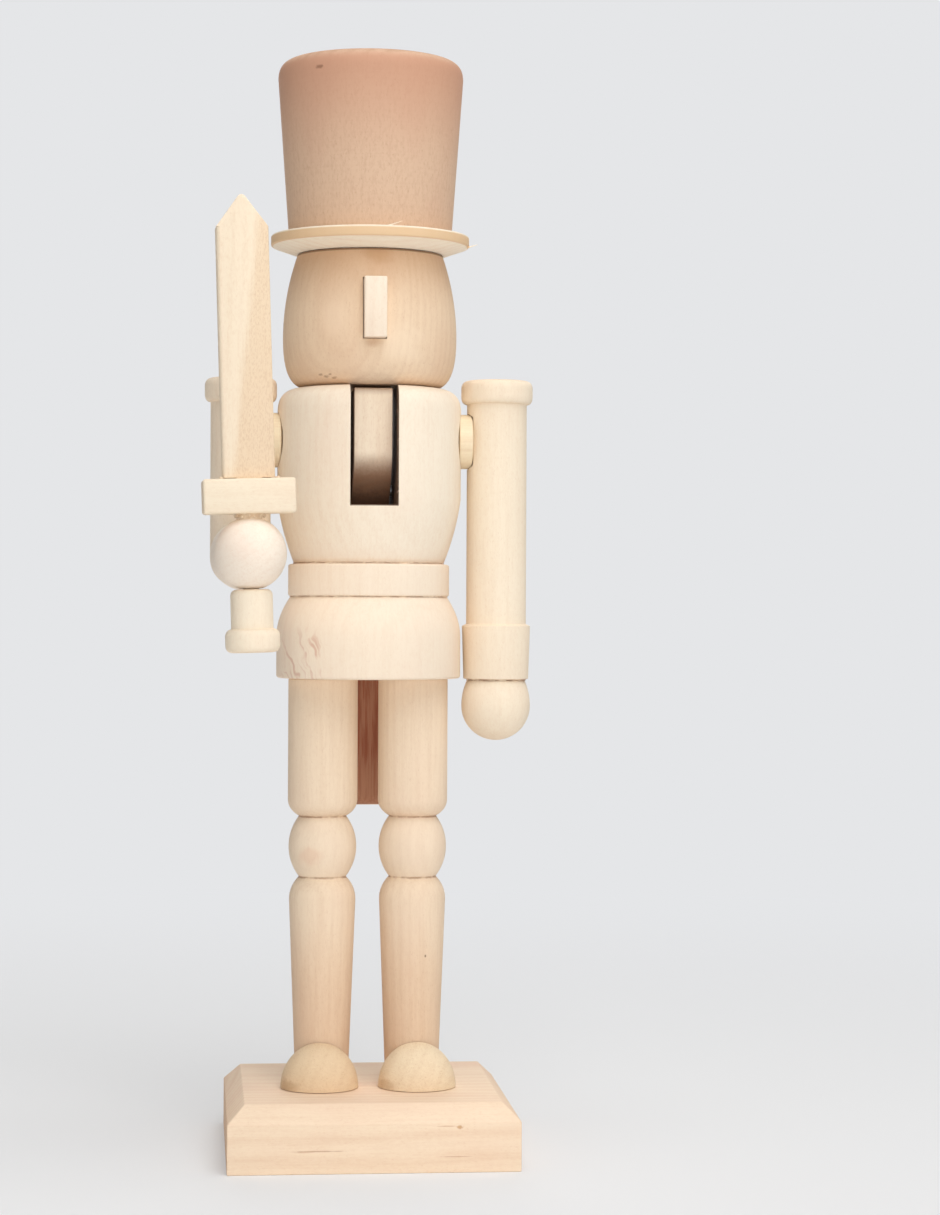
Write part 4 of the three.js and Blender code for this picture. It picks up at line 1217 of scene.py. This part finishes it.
# %% Turn and mitre the upper arm
ELBOW_DROP = 24.8
FOREARM_TURN = math.radians(2.4)
GLUE_GAP = 0.15

mitre_gap = GLUE_GAP / 2 / math.cos(math.pi / 4)
elbow_z = shoulder_z - ELBOW_DROP
upper_foot = -ELBOW_DROP - 2 * SLEEVE_RADIUS
upper_arm = turned([(SLEEVE_RADIUS, upper_foot), *cap_outline()])
slice_off(upper_arm, (0, 0, mitre_gap - ELBOW_DROP), (0, -1, -1))
move(upper_arm, turn=FOREARM_TURN, about="Z")
upper_arm = cut(upper_arm, [shoulder_seat(-1)])
move(upper_arm, (-arm_x, axis_y, shoulder_z))
wood = Wood(
    "upper_arm_wood", "right_upper_arm", (252, 235, 211), (220, 182, 148), pith=(-34, 46), ring=2.2,
    rings=0.08, fibres=0.32, pores=0.18, blush=(240, 204, 180),
)
place_wood("turned_right_upper_arm", upper_arm, wood, "sword_arm")

# %% Turn and mitre the forearm
FOREARM_REACH = 35
HAND_FLAT = 7
HAND_ROOM = 20
SWORD_LEAN = math.radians(1.8)

elbow_end = 2 * SLEEVE_RADIUS
forearm = turned([*hand_outline(HAND_NECK - FOREARM_REACH), (SLEEVE_RADIUS, elbow_end)])
slice_off(forearm, (0, 0, -mitre_gap), (0, -1, 1))
for flat_low, flat_high in ((-HAND_ROOM, -HAND_FLAT), (HAND_FLAT, HAND_ROOM)):
    tool_low = Vector((-HAND_ROOM, flat_low, -FOREARM_REACH - 2 * HAND_NECK))
    tool_high = Vector((HAND_ROOM, flat_high, HAND_NECK - FOREARM_REACH - 0.5))
    forearm = cut(forearm, [move(block(tool_low, tool_high), turn=-SWORD_LEAN, about="Z")])
move(forearm, turn=-math.pi / 2, about="X")
move(forearm, (-arm_x, axis_y, elbow_z), FOREARM_TURN, "Z")
wood = Wood(
    "forearm_wood", "right_forearm", (253, 239, 222), (226, 190, 160), grain="Y", pith=(-7, -9), ring=1.6,
    rings=0.07, fibres=0.25, pores=0.16, fuzz=0.5, clouds=0.26, blush=(246, 214, 194), ends=0.02,
)
place_wood("turned_right_forearm", forearm, wood, "sword_arm")

# %% [markdown]
# ## Shoulder spacers
# A short round spacer keeps each arm off the coat, so that it can turn. Both are cut from one dowel, so they
# share a finish.

# %% Turn the shoulder spacers
SPACER_EASE = 0.4

wood = Wood(
    "spacer_wood", "left_shoulder_spacer", (248, 231, 199), (214, 176, 132), grain="X", pith=(20, 14),
    rings=0.2, fibres=0.4,
)
spacer_finish = wood.seal()
for side, body in (("left", "left_arm"), ("right", "sword_arm")):
    node = side + "_shoulder_spacer"
    place_piece(side + "_turned_spacer", peg(node, SPACER_EASE), spacer_finish, [node], body)

# %% [markdown]
# ## The sword's blade
# Blade and guard are sawn from thin boards and only sanded. The blade is cut across the border of heartwood
# and sapwood, so its right part is browner and full of pores, and its left front edge is worn round. It is
# made upright about the middle of the hand, and then leant into the hand.

# %% Saw the blade
GUARD_STAND = 1
GUARD_HEIGHT = 7
BLADE_WIDTH = 10.5
BLADE_THICKNESS = 4
BLADE_LENGTH = 50.2
BLADE_POINT = 7.1
BLADE_EASE = 0.6
TANG_WIDTH = 5
TANG_DEPTH = 3
TIP_ROUND = 0.9
BLADE_WEAR = 0.9

hand_middle = Vector((-arm_x, axis_y, elbow_z))
hand_middle += Matrix.Rotation(FOREARM_TURN, 3, "Z") @ Vector((0, -FOREARM_REACH, 0))


def into_hand(shape):
    """Moves a sword piece, made upright about the middle of the hand, into the hand."""
    move(shape, turn=-SWORD_LEAN, about="Y")
    return move(shape, hand_middle, FOREARM_TURN, "Z")


guard_foot = HAND_FLAT + GUARD_STAND
guard_top = guard_foot + GUARD_HEIGHT
blade_foot = guard_top + GLUE_GAP
blade_shoulder = blade_foot + BLADE_LENGTH
blade_half, tang_half = BLADE_WIDTH / 2, TANG_WIDTH / 2
blade_outline = [
    (-tang_half, blade_foot - TANG_DEPTH),
    (tang_half, blade_foot - TANG_DEPTH),
    (tang_half, blade_foot),
    (blade_half, blade_foot),
    (blade_half, blade_shoulder, BLADE_EASE),
    (0, blade_shoulder + BLADE_POINT, TIP_ROUND),
    (-blade_half, blade_shoulder, BLADE_EASE),
    (-blade_half, blade_foot),
    (-tang_half, blade_foot),
]
blade = sawn(blade_outline, BLADE_THICKNESS)
move(blade, turn=math.pi / 2, about="Z")
worn_x, worn_z = (0.1 - blade_half) * MM, (blade_foot - 0.1) * MM
worn = []
for edge in blade.edges:
    if all(vert.co.y < 0 and vert.co.x < worn_x and vert.co.z > worn_z for vert in edge.verts):
        worn.append(edge)
soften(blade, BLADE_WEAR, worn)
soften(blade, BROKEN_EDGE, [edge for edge in blade.edges if edge.calc_face_angle(0) > 0.5])
into_hand(blade)
print("blade faces:", len(blade.faces))

# %% Finish the blade
BORDER_START = -3.2
BORDER_SHIFT = 6.3

wood = Wood(
    "blade_wood", "sword_blade", (250, 232, 206), (222, 182, 144), pith=(-40, -30), ring=2, rings=0.06,
    fibres=0.28, pores=0.14, fuzz=0.55, clouds=0.2,
)
up_blade = wood.part("Z") - hand_middle.z
across_blade = wood.part("X") - hand_middle.x + up_blade * math.tan(SWORD_LEAN)
border = across_blade - ((up_blade - blade_foot) * (BORDER_SHIFT / BLADE_LENGTH) + BORDER_START)
heartwood = wood.step(border + (wood.fibre - 0.5) * 2.4, -1, 1.2)
wood.lay(heartwood * 0.48, (234, 203, 166))
dense_pores = wood.step(wood.noise(wood.stretch(4.2, 1.5), 3), 0.46, 0.64)
wood.lay(heartwood * dense_pores * 0.24, (206, 166, 128))
place_wood("sawn_blade", blade, wood, "sword_arm")

# %% [markdown]
# ## Guard and grip
# The guard is a block with sanded edges, under the blade. The grip below the hand is turned, with a round
# pommel. Both lean with the blade.

# %% Saw the guard
GUARD_WIDTH = 18.6
GUARD_DEPTH = 8
GUARD_EDGE = 0.6

guard_corner = Vector((GUARD_WIDTH / 2, GUARD_DEPTH / 2, 0))
guard = block(Vector((0, 0, guard_foot)) - guard_corner, Vector((0, 0, guard_top)) + guard_corner)
into_hand(soften(guard, GUARD_EDGE))
wood = Wood(
    "guard_wood", "sword_guard", (249, 233, 208), (222, 184, 148), grain="X", pith=(-30, -40), ring=2.2,
    pores=0.14,
)
place_wood("sawn_guard", guard, wood, "sword_arm")

# %% Turn the grip
GRIP_RADIUS = 4.25
GRIP_LENGTH = 7.9
GRIP_ROUND = 1.2
POMMEL_RADIUS = 5.5
POMMEL_HEIGHT = 4.8
POMMEL_ROUND = 1.6

grip_top = -HAND_FLAT - GLUE_GAP
pommel_top = grip_top - GRIP_LENGTH
pommel_foot = pommel_top - POMMEL_HEIGHT
pommel_side = (POMMEL_RADIUS, pommel_foot + POMMEL_ROUND)
pommel_edge = (POMMEL_RADIUS, pommel_top - POMMEL_ROUND)
grip_outline = [
    *swell((POMMEL_RADIUS - POMMEL_ROUND, pommel_foot), (POMMEL_RADIUS, pommel_foot), pommel_side),
    *swell(pommel_edge, (POMMEL_RADIUS, pommel_top - 0.3), (GRIP_RADIUS, pommel_top)),
    (GRIP_RADIUS, grip_top, GRIP_ROUND),
]
grip = into_hand(turned(grip_outline))
wood = Wood(
    "grip_wood", "sword_grip", (252, 237, 213), (224, 188, 154), pith=(-24, -30), ring=2, rings=0.06,
    fibres=0.26, pores=0.14, clouds=0.2,
)
place_wood("turned_grip", grip, wood, "sword_arm")

# %% [markdown]
# ## Glue
# A bead of dry glue fills the gap between the hand and the guard, and a few drops stand at the blade's foot.
# It is a small waisted turning with drops scattered round it, since real squeezed-out glue is never even.

# %% Squeeze out the glue
BEAD_FOOT = 2.7
BEAD_WAIST = 2.4
BEAD_HEAD = 3.2
BEAD_STEPS = 48
BEAD_LUMPS = 22

bead_foot, bead_top = HAND_FLAT - 0.3, guard_foot + 0.05
bead_waist = (BEAD_WAIST, (bead_foot + bead_top) / 2)
bead = turned(swell((BEAD_FOOT, bead_foot), bead_waist, (BEAD_HEAD, bead_top)), BEAD_STEPS)


def lump(shape, place, size):
    """Adds a small drop of glue at a place."""
    drop = Matrix.Translation(Vector(place) * MM)
    bmesh.ops.create_icosphere(shape, subdivisions=2, radius=size * MM, matrix=drop)


for _ in range(BEAD_LUMPS):
    bearing = chance.uniform(0, 2 * math.pi)
    out = chance.uniform(2.3, 3.1)
    up = guard_foot - chance.uniform(0.25, 0.6)
    lump(bead, (out * math.cos(bearing), out * math.sin(bearing), up), chance.uniform(0.25, 0.5))
for lump_x in (blade_half - 0.5, blade_half + 0.25, blade_half + 0.7, -blade_half - 0.3):
    lump(bead, (lump_x, -BLADE_THICKNESS / 2 + 0.3, guard_top + 0.05), chance.uniform(0.3, 0.5))
into_hand(bead)
glue_shades = (244, 228, 202), (206, 170, 130)
glue_shine = {"Specular IOR Level": 0.4}
glue_finish = speckled("dry_glue", (0.9, 0.9, 0.9), 2, glue_shades, (0.3, 0.15), glue_shine)
place_piece("glue_bead", bead, glue_finish, [], "sword_arm")

# %% [markdown]
# ## Dowels
# The dowels inside stay as the CAD made them, because nobody sees them. They still get a wood of their own.

# %% Finish the dowels
wood = Wood("dowel_wood", "hat_dowel", (226, 199, 160), (188, 150, 108), rings=0.2, fibres=0.5, pores=0.4)
dowel_finish = wood.seal()
dowels = [node for name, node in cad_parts.items() if name.endswith("_dowel")]
for dowel in dowels:
    dowel.data.materials.clear()
    dowel.data.materials.append(dowel_finish)
print("dowels finished:", len(dowels))
